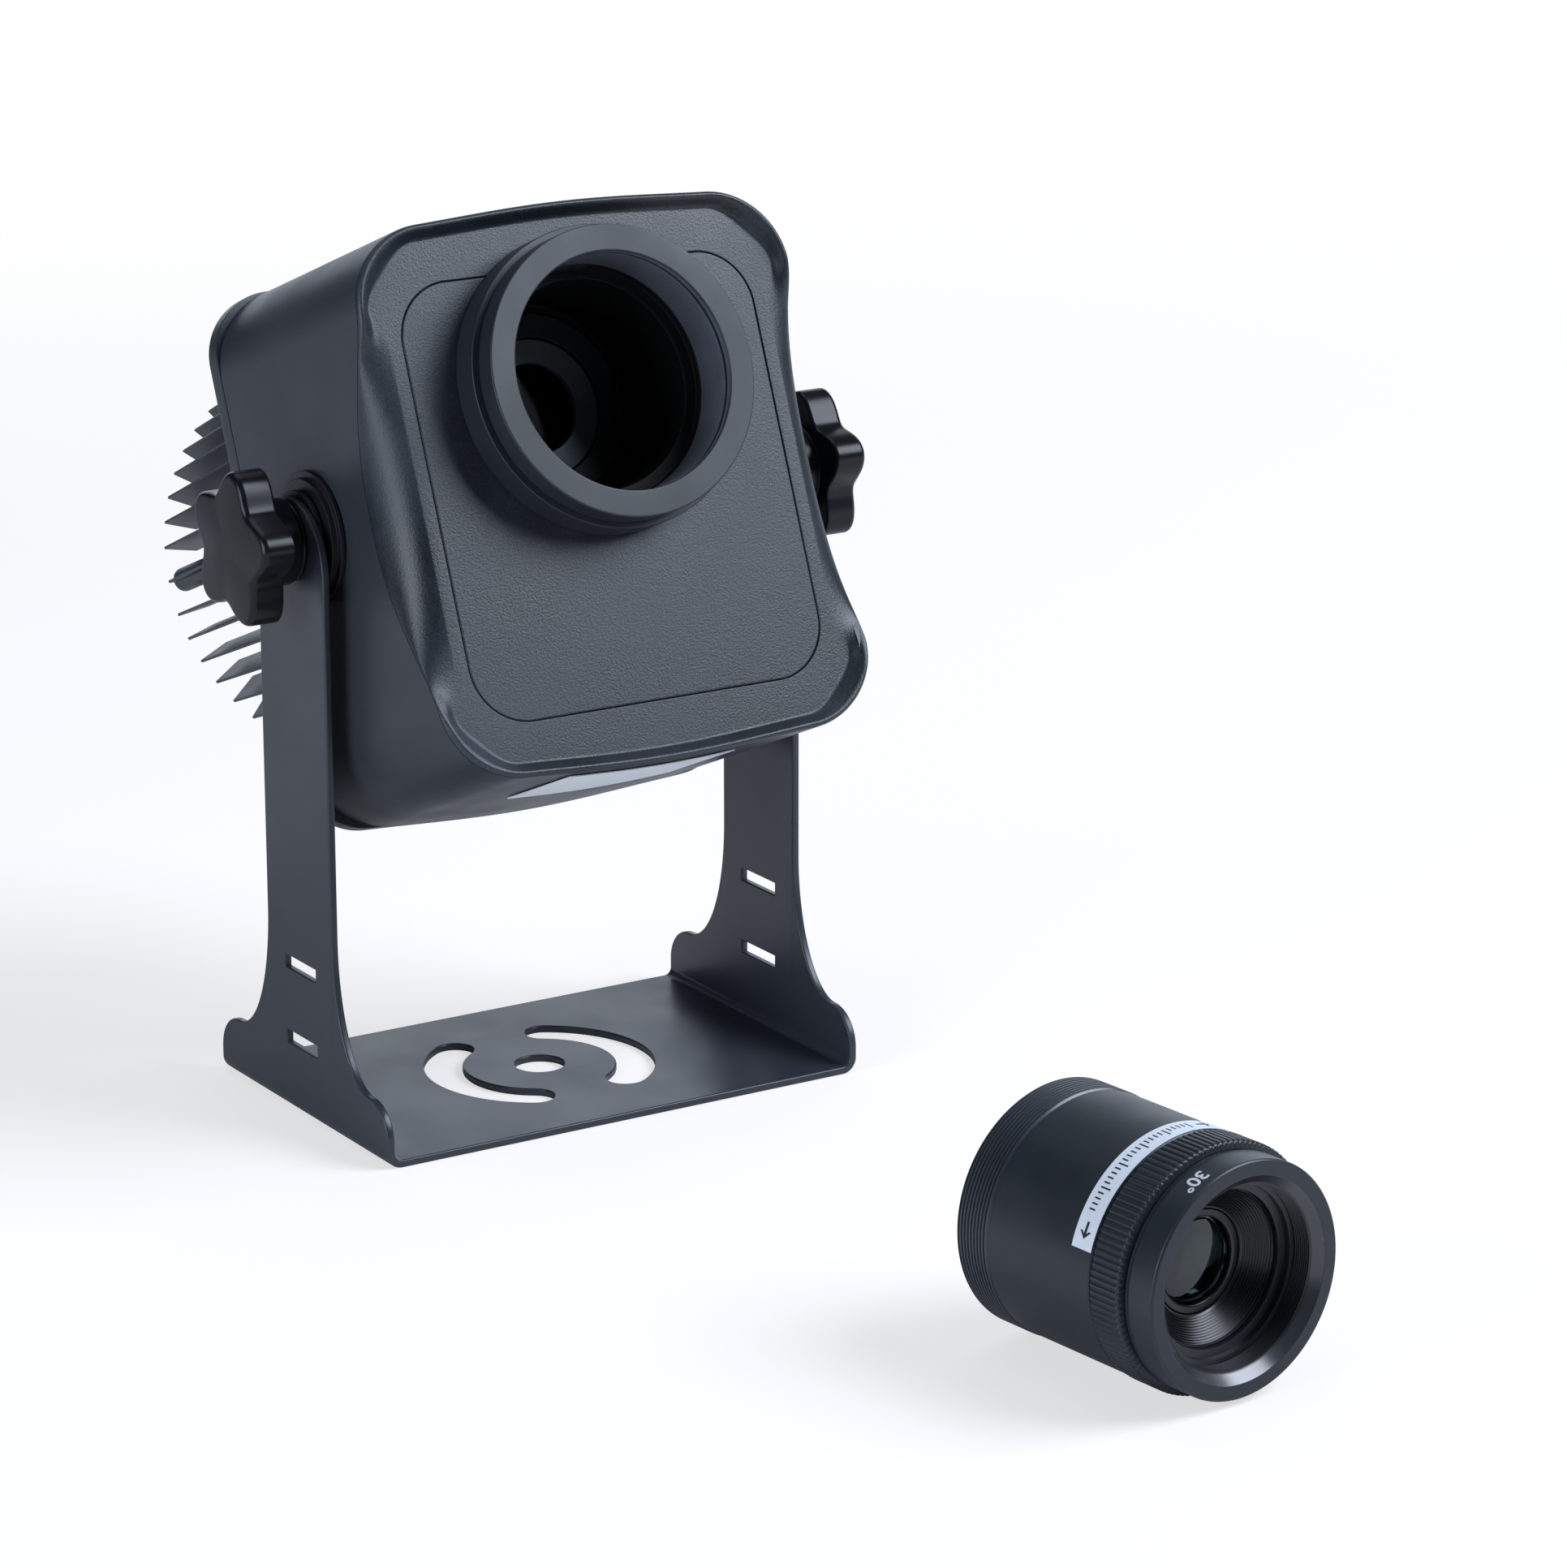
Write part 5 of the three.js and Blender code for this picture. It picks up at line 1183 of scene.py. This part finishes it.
@dataclass
class Pivot:
    """One side's tilt pivot with its star knob."""

    side: str
    place: Place
    lobe_angle: float
    backed_off: float
    seat: float = 62.12
    arm_outside: float = 69
    stud: float = 4
    stud_inside: float = 19
    stud_in_knob: float = 5
    stud_grooves: int = 12
    washer_gap: float = 0.3
    knob_gap: float = 1.6
    bore: float = 4.4
    hub: float = 10.8
    hub_length: float = 6.4
    head: float = 9.5
    tip: float = 19.8
    valley: float = 14.4
    edge: float = 1.7
    back_edge: float = 0.8
    dome: float = 0.5
    outline_steps: int = 240
    stud_steps: int = 32

    def rings(self) -> None:
        """The stepped disc, the spacer, the washer and the stud."""
        side, seat, bore = self.side, self.seat, self.bore
        under = self.arm_outside + self.washer_gap + self.backed_off
        start = self.arm_outside - self.stud_inside + self.backed_off
        end = self.arm_outside + self.knob_gap + self.backed_off + self.hub_length + self.stud_in_knob
        disc = [(bore, seat - 12), (8, seat - 12), (8, seat), (16.5, seat), (16.5, seat + 1.1),
                (14.8, seat + 1.1), (14.8, seat + 2.7), (bore, seat + 2.7)]
        grooves = ridged((self.stud, start + 0.6), (self.stud, start + 15.6), self.stud_grooves, -0.35)
        rod = [(0, start), (3.4, start), *grooves, (self.stud, end), (0, end)]
        for name, node, body, slot, finish, outline, ease, steps in (
            ("pivot_disc_gloss", "pivot_disc", "head", "knob_plastic", Look.disc, disc, 0.18, RING_STEPS),
            ("pivot_spacer_ring", "pivot_spacer", "head", "black_plastic", Look.moulded,
             hoop(bore, 12.1, seat + 3.3, 66.7), 0.25, SMALL_STEPS),
            ("knob_washer_ring", "knob_washer", f"{side}_clamp", "dark_steel", Look.knob_side,
             hoop(bore, 10.2, under, under + 1), 0.3, SMALL_STEPS),
            ("knob_stud_thread", "knob_stud", f"{side}_knob", "bright_steel", Look.zinc, rod, 0, self.stud_steps),
        ):
            shape = Shape().turned(outline, ease, steps)
            shape.piece(f"{name}_{side}", body, slot, [finish], self.place, f"{node}_{side}")

    def star(self, inset: float, share: float = 1.0) -> Callable[[float], float]:
        """The knob's lobed outline.

        Args:
            inset: how far the outline draws in.
            share: how much of its size is left.

        Returns:
            The radius for an angle.
        """
        middle, swing = (self.tip + self.valley) / 2, (self.tip - self.valley) / 2
        return lambda turn: share * (middle - inset + swing * math.cos(5 * (turn - self.lobe_angle)))

    def knob(self) -> None:
        """The star knob: a hub, five rounded lobes and a flat satin face."""
        inside = self.arm_outside + self.knob_gap + self.backed_off
        back = inside + self.hub_length
        front = back + self.head
        rim = front - self.dome
        turns = [FULL * i / self.outline_steps for i in range(self.outline_steps)]

        def around(depth: float, radius: Measure) -> list[Vector]:
            """One outline of the knob."""
            return [Vector((at(radius, t) * math.cos(t), depth, at(radius, t) * math.sin(t))) for t in turns]

        rings = [around(*row) for row in (
            (inside, 5.0), (inside, self.hub - 0.4), (inside + 0.4, self.hub), (back - 0.5, self.hub),
            (back, self.hub + 0.5))]
        for a in (i / 4 * math.pi / 2 for i in range(5)):
            inset = self.back_edge * (1 - math.sin(a))
            rings.append(around(back + self.back_edge * (1 - math.cos(a)), self.star(inset)))
        for a in (i / 8 * math.pi / 2 for i in range(9)):
            rings.append(around(rim - self.edge * (1 - math.sin(a)), self.star(self.edge * (1 - math.cos(a)))))
        for share in (0.92, 0.75, 0.5, 0.25):
            rings.append(around(front - self.dome * share ** 2, self.star(self.edge, share)))
        shape = Shape().swept(rings, False).marked(1, lambda face, _, depth: face.normal.y > 0.9 and depth > rim - 0.1)
        shape.piece(
            f"star_knob_{self.side}", f"{self.side}_knob", "knob_plastic", [Look.knob_side, Look.knob_face],
            self.place, f"knob_{self.side}", sharp=60,
        )

    def build(self) -> None:
        """Builds one side."""
        self.rings()
        self.knob()


@dataclass
class Lens:
    """The screw-in lens, lying on the floor."""

    nose: float = 27.9
    grip: float = 29.6
    barrel: float = 29.3
    thread: float = 29.5
    length: float = 63.9
    teeth: int = 116
    tooth_steps: int = 8
    tooth_fullness: float = 0.8
    knurl: float = 0.36
    shell_steps: int = 200
    strip_start: float = math.radians(68)
    strip_sweep: float = math.radians(97)
    strip_front: float = 19.3
    strip_width: float = 6.3
    strip_lift: float = 0.12
    strip_thickness: float = 0.2
    strip_cuts: int = 60
    ticks: int = 25
    tick_pitch: float = 1.35
    first_tick: float = 8.6
    ink: float = 0.03
    ink_edge: float = 0.005

    def barrel_shell(self) -> None:
        """The plain barrel with its coarse rear thread."""
        barrel, thread, length = self.barrel, self.thread, self.length
        outline = [
            (23.2, 19.1), (barrel - 0.3, 19.1), (barrel, 19.4), (barrel, 52.8), (barrel - 0.3, 53.2),
            *ridged((thread, 53.6), (thread, 63.3), 9, -0.5), (thread - 0.5, length), (23.5, length),
            (23.2, length - 0.3),
        ]
        shape = Shape().turned(outline, 0, self.shell_steps)
        # The thread's faces take the lighter thread finish, a painted sheen for the light rings on its ridges.
        shape.marked(1, lambda _, radius, depth: depth > 53.3 and radius > thread - 0.6)
        shape.piece("lens_barrel_shell", "lens_body", "black_anodised", [Look.barrel, Look.thread], Place.LENS,
                    "lens_barrel", sharp=30)

    def grip_ring(self) -> None:
        """The knurled focus ring."""
        count = self.teeth * self.tooth_steps
        turns = [FULL * i / count for i in range(count)]

        def around(depth: float, radius: float, deep: float) -> list[Vector]:
            """One outline of the ring, with teeth of a given depth."""
            reaches = [radius - deep * max(0.0, math.cos(self.teeth * turn)) ** self.tooth_fullness for turn in turns]
            return [Vector((reach * math.cos(t), depth, reach * math.sin(t))) for reach, t in zip(reaches, turns)]

        grip, deep = self.grip, self.knurl
        rings = [around(*row) for row in (
            (9.4, 26.7, 0), (9.4, 28.8, 0.05), (9.8, 29.35, 0.6 * deep), (10.2, grip, deep), (18.2, grip, deep),
            (18.5, 29.4, 0.6 * deep), (18.8, 29.0, 0.05), (18.8, 26.7, 0))]
        Shape().swept(rings, True).piece(
            "focus_grip_ring", "focus_grip", "black_anodised", [Look.barrel], Place.LENS, "focus_ring", sharp=50,
        )

    def nose_cone(self) -> None:
        """The nose with a chamfered mouth and fine grooves inside."""
        nose, mouth = self.nose, 2.2
        outside = [(24.2, 0), (nose - 0.45, 0), (nose, 0.45), (nose, 7.6), (nose - 0.35, 8.2), (nose - 0.35, 9.1),
                   (26.4, 9.1), (26.4, 18.8), (23.2, 18.8), (23.2, 10.1), (18.3, 10.1)]
        inside = [(18.6, 9.3), (20.4, 9.0), (20.4, 7.4), *ridged((21.6, 7.1), (21.9, 2.4), 8, 0.2), (22.2, mouth)]
        shape = Shape().turned([*eased(outside, 0.2), *inside], 0, self.shell_steps)
        shape.marked(1, lambda _, radius, depth: radius < 22.1 and depth > mouth)
        shape.marked(2, lambda _, radius, depth: 0.05 < depth < mouth and radius < 24.5)
        shape.piece("lens_nose_cone", "focus_grip", "black_anodised",
                    [Look.barrel, Look.barrel_inside, Look.lens_mouth], Place.LENS, "lens_nose", sharp=30)

    def inner_tube(self) -> None:
        """The tube that carries the glass, with stepped baffles in front, and its two rings."""
        tube = [
            *reversed(ridged((13.0, 15.1), (17.9, 10.9), 10, -0.28)), (12.7, 15.4), (12.4, 15.4), (12.4, 26.3),
            (10.3, 26.3), (10.3, 29.3), (17.4, 29.3), (17.4, 36), (19.9, 36), (19.9, 48), (22.9, 48), (22.9, 10.4),
            (18.2, 10.4),
        ]
        front = [(10.3, 15.6), (10.8, 15.4), (12.1, 15.4), (12.1, 16.8), (10.3, 16.8)]
        for name, node, outline, ease, steps, sharp in (
            ("focus_tube_baffles", "focus_tube", tube, 0, FINE_STEPS, 30),
            ("glass_front_ring", "glass_retaining_ring", front, 0.15, RING_STEPS, 40),
            ("glass_rear_ring", "rear_retaining_ring", hoop(17, 19.6, 39, 41), 0.3, RING_STEPS, 40),
        ):
            Shape().turned(outline, ease, steps).piece(
                name, "focus_slide", "black_anodised", [Look.barrel_inside], Place.LENS, node, sharp=sharp,
            )

    def glass(self) -> None:
        """The three glasses."""
        for name, radius, near, near_bulge, far, far_bulge in (
            ("front_glass", 10.2, 17.1, 1.1, 19.1, 2.2),
            ("middle_glass", 10.2, 24.0, 2.2, 26.0, 0.1),
            ("rear_glass", 16.6, 36.3, 0.1, 38.7, 4.0),
        ):
            front = arc((0, near), (radius, near_bulge), 1.5 * math.pi, FULL, 16)
            rear = arc((0, far), (radius, far_bulge), 0, QUARTER, 16)
            front[0], rear[-1] = (0, near - near_bulge), (0, far + far_bulge)
            Shape().turned([*front, *rear], 0, SMALL_STEPS).piece(
                f"{name}_dome", "focus_slide", "lens_glass", [Look.glass], Place.LENS, name, sharp=30,
            )

    def wrapped(self, shape: Shape, start: float, depth: float, radius: float) -> Shape:
        """Bends a flat shape round the lens, reading round it with its top towards the front.

        Args:
            shape: the flat shape, X along the words and Y up.
            start: the angle of its origin, in radians.
            depth: the depth of its origin.
            radius: the radius of its underside.

        Returns:
            The bent shape.
        """
        for corner in shape.mesh.verts:
            angle = start + corner.co.x / radius
            reach = radius + corner.co.z
            corner.co = Vector((reach * math.cos(angle), depth - corner.co.y, reach * math.sin(angle)))
        return shape.cleaned()

    def strip(self) -> None:
        """The pale strip with plain focus marks."""
        start, width, back = self.strip_start, self.strip_width, self.strip_front + self.strip_width
        radius = self.barrel + self.strip_lift
        length = self.strip_sweep * radius
        cuts = [length * i / self.strip_cuts for i in range(1, self.strip_cuts)]
        band = flat_shape([[(0, 0), (length, 0), (length, width), (0, width)]], 0, self.strip_thickness, 0.05)
        self.wrapped(band.cut(cuts), start, back, radius).piece(
            "focus_strip", "lens_body", "lens_strip", [Look.strip], Place.LENS, "lens_label", sharp=50,
        )
        marks = Shape()

        def mark(outline: Sequence[Point], x: float, y: float) -> None:
            """Adds one flat mark."""
            marks.added(flat_shape([outline], 0, self.ink, self.ink_edge), Matrix.Translation((x, y, 0)))

        for i in range(self.ticks):
            tall = 3.0 if i % 5 == 0 else 1.8
            mark([(-0.2, 0), (0.2, 0), (0.2, tall), (-0.2, tall)], self.first_tick + i * self.tick_pitch, 1.7)
        arrow = [(2.0, 0), (0.2, 1.75), (0.2, 0.95), (0.8, 0.38), (-2.0, 0.38),
                 (-2.0, -0.38), (0.8, -0.38), (0.2, -0.95), (0.2, -1.75)]
        for place, way in ((4.2, -1), (length - 4.0, 1)):
            mark([(way * x, y) for x, y in arrow][::way], place, width / 2)
        self.wrapped(marks.cut(cuts), start, back, radius + self.strip_thickness).piece(
            "focus_strip_marks", "lens_body", "lens_strip", [Look.ink], Place.LENS, sharp=50,
        )

    def angle_number(self) -> None:
        """The plain white angle number on the nose."""
        text = bpy.data.curves.new("angle", "FONT")
        text.body = "30°"
        text.size, text.extrude, text.offset = 5.0, 0.02, 0.1
        text.align_x = text.align_y = "CENTER"
        digits = shape_of(text).moved(Matrix.Translation((0, 0, 0.02)))
        digits.cut([i * 0.6 for i in range(-7, 8)])
        self.wrapped(digits, math.radians(116), 4.2, self.nose + 0.01).piece(
            "angle_number", "focus_grip", "lens_strip", [Look.white_ink], Place.LENS, sharp=50,
        )

    def build(self) -> None:
        """Builds the whole lens."""
        self.barrel_shell()
        self.grip_ring()
        self.nose_cone()
        self.inner_tube()
        self.glass()
        self.strip()
        self.angle_number()


@dataclass
class RearFittings:
    """The rear cover's screws and the cable gland."""

    seat: float = 38.8
    screw_head: float = 2.8
    screw_steps: int = 48
    shank_steps: int = 24
    ribs: int = 12
    rib: Triple = (0.6, 3.6, 1.6)
    rib_bevel: float = 0.15
    gland_steps: int = 72

    def screws(self) -> None:
        """Four cap screws with round sockets."""
        seat, top = self.seat, self.seat + 2.4
        for number in range(1, 5):
            node = f"rear_cover_screw_{number}"
            low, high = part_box(node)
            middle = Place.HEAD.matrix().inverted() @ ((low + high) / 2 / MM)
            head = Shape().turned([(0, seat), (self.screw_head, seat), (self.screw_head, top), (1.45, top),
                                   (1.45, seat + 1.1), (0, seat + 1.1)], 0.25, self.screw_steps)
            head.added(Shape().turned(hoop(0, 1.4, seat + 0.1, seat - 22.4), 0, self.shank_steps))
            head.moved(Matrix.Translation((middle.x, 0, middle.z)))
            head.piece(f"cover_cap_screw_{number}", "head", "dark_steel", [Look.black_steel], Place.HEAD, node)

    def gland(self) -> None:
        """The cable gland with its ribbed dome nut."""
        flange, dome = self.seat, self.seat + 4.2
        body = Shape().turned([
            (3, flange - 6), (5.7, flange - 6), (5.7, flange), (7.2, flange), (7.2, dome), (6, dome),
            (6, dome + 4.5), (5.2, dome + 7), (3.6, dome + 9), (3, dome + 9)], 0.4, self.gland_steps)
        rib = Shape()
        matrix = Matrix.Translation((7.15, flange + 2.1, 0)) @ Matrix.Diagonal((*self.rib, 1))
        bmesh.ops.create_cube(rib.mesh, size=1, matrix=matrix)
        bmesh.ops.bevel(rib.mesh, geom=rib.mesh.edges[:], offset=self.rib_bevel, segments=2, profile=0.5,
                        affect="EDGES", material=-1, clamp_overlap=True)
        for i in range(self.ribs):
            body.added(rib, Matrix.Rotation(i * FULL / self.ribs, 4, "Y"))
        body.piece("gland_dome_nut", "head", "black_plastic", [Look.moulded], Place.GLAND, "cable_gland_body")

    def build(self) -> None:
        """Builds the small fittings."""
        self.screws()
        self.gland()


@dataclass
class KeptSolids:
    """Finishes for the solids that show as they are."""

    finishes: dict[str, Surface] = field(default_factory=lambda: {
        "bottom_label": Look.film,
        "driver_board": Look.board,
        "driver_transformer": Look.tape,
        "driver_capacitor": Look.moulded,
        "driver_inductor": Look.copper,
        "condenser_barrel": Look.holder,
        "condenser_lens_front": Look.clear,
        "condenser_lens_rear": Look.clear,
        "led_board": Look.dark_board,
        "led_emitter": Look.phosphor,
        "cable_gland_nut": Look.moulded,
        "pivot_nut_left": Look.black_steel,
        "pivot_nut_right": Look.black_steel,
        **{f"heat_sink_screw_{number}": Look.black_steel for number in range(1, 5)},
    })

    def build(self, nodes: dict[str, bpy.types.Object]) -> None:
        """Gives each solid its material.

        Args:
            nodes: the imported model's solids by name.
        """
        for name, finish in self.finishes.items():
            nodes[name].data.materials.clear()
            nodes[name].data.materials.append(finish.material())
            LOG.info("%s keeps its solid", name)


@dataclass(frozen=True)
class Lamp:
    """A soft rectangular lamp: its place, aim and sides in metres, and its power in watts."""

    name: str
    place: Triple
    aim: Triple
    size: Point
    power: float


@dataclass
class Studio:
    """The camera, the pale floor and the soft lights."""

    azimuth: float = -32.373
    elevation: float = 16.415
    distance: float = 1480.9
    focal_px: float = 6926.16
    image_width: float = 1931
    target: Triple = (75.04, 0, 65.76)
    sensor: float = 36
    floor_radius: float = 8
    floor_lift: float = 0.5
    floor_glow: float = 1.26
    fade_from: float = 0.45
    fade_to: float = 1.3
    paper: Triple = (0.9, 0.87, 0.85)
    room: float = 0.026
    tint: Triple = (0.79, 0.87, 1.0)
    lamps: tuple[Lamp, ...] = (
        Lamp("key", (1.15, -1.0, 1.35), (0, -0.05, 0.1), (1.25, 1.1), 42),
        Lamp("side", (-1.4, -0.33, 0.45), (0, 0, 0.12), (0.9, 0.9), 13),
        Lamp("back", (1.0, 1.6, 0.6), (0, 0, 0.1), (2.4, 1.3), 12),
        Lamp("top", (0.0, 0.35, 1.5), (0, 0, 0.1), (1.2, 1.0), 4),
    )

    @staticmethod
    def aimed(name: str, data: bpy.types.ID, place: Vector, way: Vector) -> bpy.types.Object:
        """Adds a camera or a lamp.

        Args:
            name: its name.
            data: its camera or lamp data.
            place: where it is, in metres.
            way: the direction it looks in.

        Returns:
            The object.
        """
        made = bpy.data.objects.new(name, data)
        made.location = place
        made.rotation_mode = "QUATERNION"
        made.rotation_quaternion = way.to_track_quat("-Z", "Y")
        bpy.context.scene.collection.objects.link(made)
        return made

    def camera(self) -> None:
        """Places the camera as the photograph was taken."""
        data = bpy.data.cameras.new("camera")
        data.sensor_fit = "HORIZONTAL"
        data.sensor_width = self.sensor
        data.lens = self.focal_px / self.image_width * self.sensor
        data.clip_start, data.clip_end = 0.01, 50
        a, e = math.radians(self.azimuth), math.radians(self.elevation)
        back = Vector((math.sin(a) * math.cos(e), -math.cos(a) * math.cos(e), math.sin(e)))
        place = (Vector(self.target) + back * self.distance) * MM
        bpy.context.scene.camera = self.aimed("camera", data, place, -back)

    def floor(self) -> None:
        """A pale floor that fades into the white backdrop."""
        base = bmesh.new()
        bmesh.ops.create_circle(base, cap_ends=True, segments=SMALL_STEPS, radius=self.floor_radius)
        mesh = bpy.data.meshes.new("floor")
        base.to_mesh(mesh)
        base.free()
        shader = Shader(bpy.data.materials.new("floor_paper"))
        length = shader.add("ShaderNodeVectorMath", {0: shader.local(Place.BASE)}, operation="LENGTH")
        fade = shader.add("ShaderNodeMapRange", {
            "Value": length.outputs["Value"], "From Min": self.fade_from, "From Max": self.fade_to,
        }, interpolation_type="SMOOTHSTEP")
        seen = shader.add("ShaderNodeLightPath").outputs["Is Camera Ray"]
        surface = shader.add("ShaderNodeBsdfDiffuse", {"Color": (*self.paper, 1)}).outputs["BSDF"]
        for share, strength in ((self.floor_lift, self.floor_glow), (fade.outputs["Result"], 1.0)):
            surface = shader.add("ShaderNodeMixShader", {
                "Fac": shader.add("ShaderNodeMath", {0: share, 1: seen}, operation="MULTIPLY").outputs["Value"],
                1: surface,
                2: shader.add("ShaderNodeEmission", {"Color": WHITE, "Strength": strength}).outputs["Emission"],
            }).outputs["Shader"]
        mesh.materials.append(shader.finish(surface))
        made = bpy.data.objects.new("floor", mesh)
        bpy.context.scene.collection.objects.link(made)

    def world(self) -> None:
        """A dim grey room that the camera sees as white."""
        shader = Shader(bpy.data.worlds.new("room"))
        room = shader.add("ShaderNodeBackground", {"Color": (*self.tint, 1), "Strength": self.room})
        mix = shader.add("ShaderNodeMixShader", {
            "Fac": shader.add("ShaderNodeLightPath").outputs["Is Camera Ray"],
            1: room.outputs["Background"],
            2: shader.add("ShaderNodeBackground", {"Color": WHITE}).outputs["Background"],
        })
        bpy.context.scene.world = shader.finish(mix.outputs["Shader"])

    def light(self, lamp: Lamp) -> None:
        """Adds one soft lamp.

        Args:
            lamp: the lamp.
        """
        data = bpy.data.lights.new(lamp.name, "AREA")
        data.shape = "RECTANGLE"
        data.size, data.size_y = lamp.size
        data.energy = lamp.power
        data.color = self.tint
        place = Vector(lamp.place)
        self.aimed(lamp.name, data, place, Vector(lamp.aim) - place).visible_camera = False

    def build(self) -> None:
        """Sets up the studio."""
        self.camera()
        self.floor()
        self.world()
        for lamp in self.lamps:
            self.light(lamp)
        bpy.context.scene.view_settings.view_transform = "Standard"


def main() -> None:
    """Builds the projector's pieces in order."""
    logging.basicConfig(level=logging.INFO, format="%(name)s %(message)s")
    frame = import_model()
    Studio().build()
    Yoke().build()
    HeadShell().build()
    Socket().build()
    HeatSink().build()
    Pivot("left", Place.PIVOT_LEFT, math.radians(26.3), 0.0).build()
    Pivot("right", Place.PIVOT_RIGHT, math.pi - math.radians(16.4), 2.5).build()
    Lens().build()
    RearFittings().build()
    KeptSolids().build(frame["nodes"])


if __name__ == "__main__":
    main()
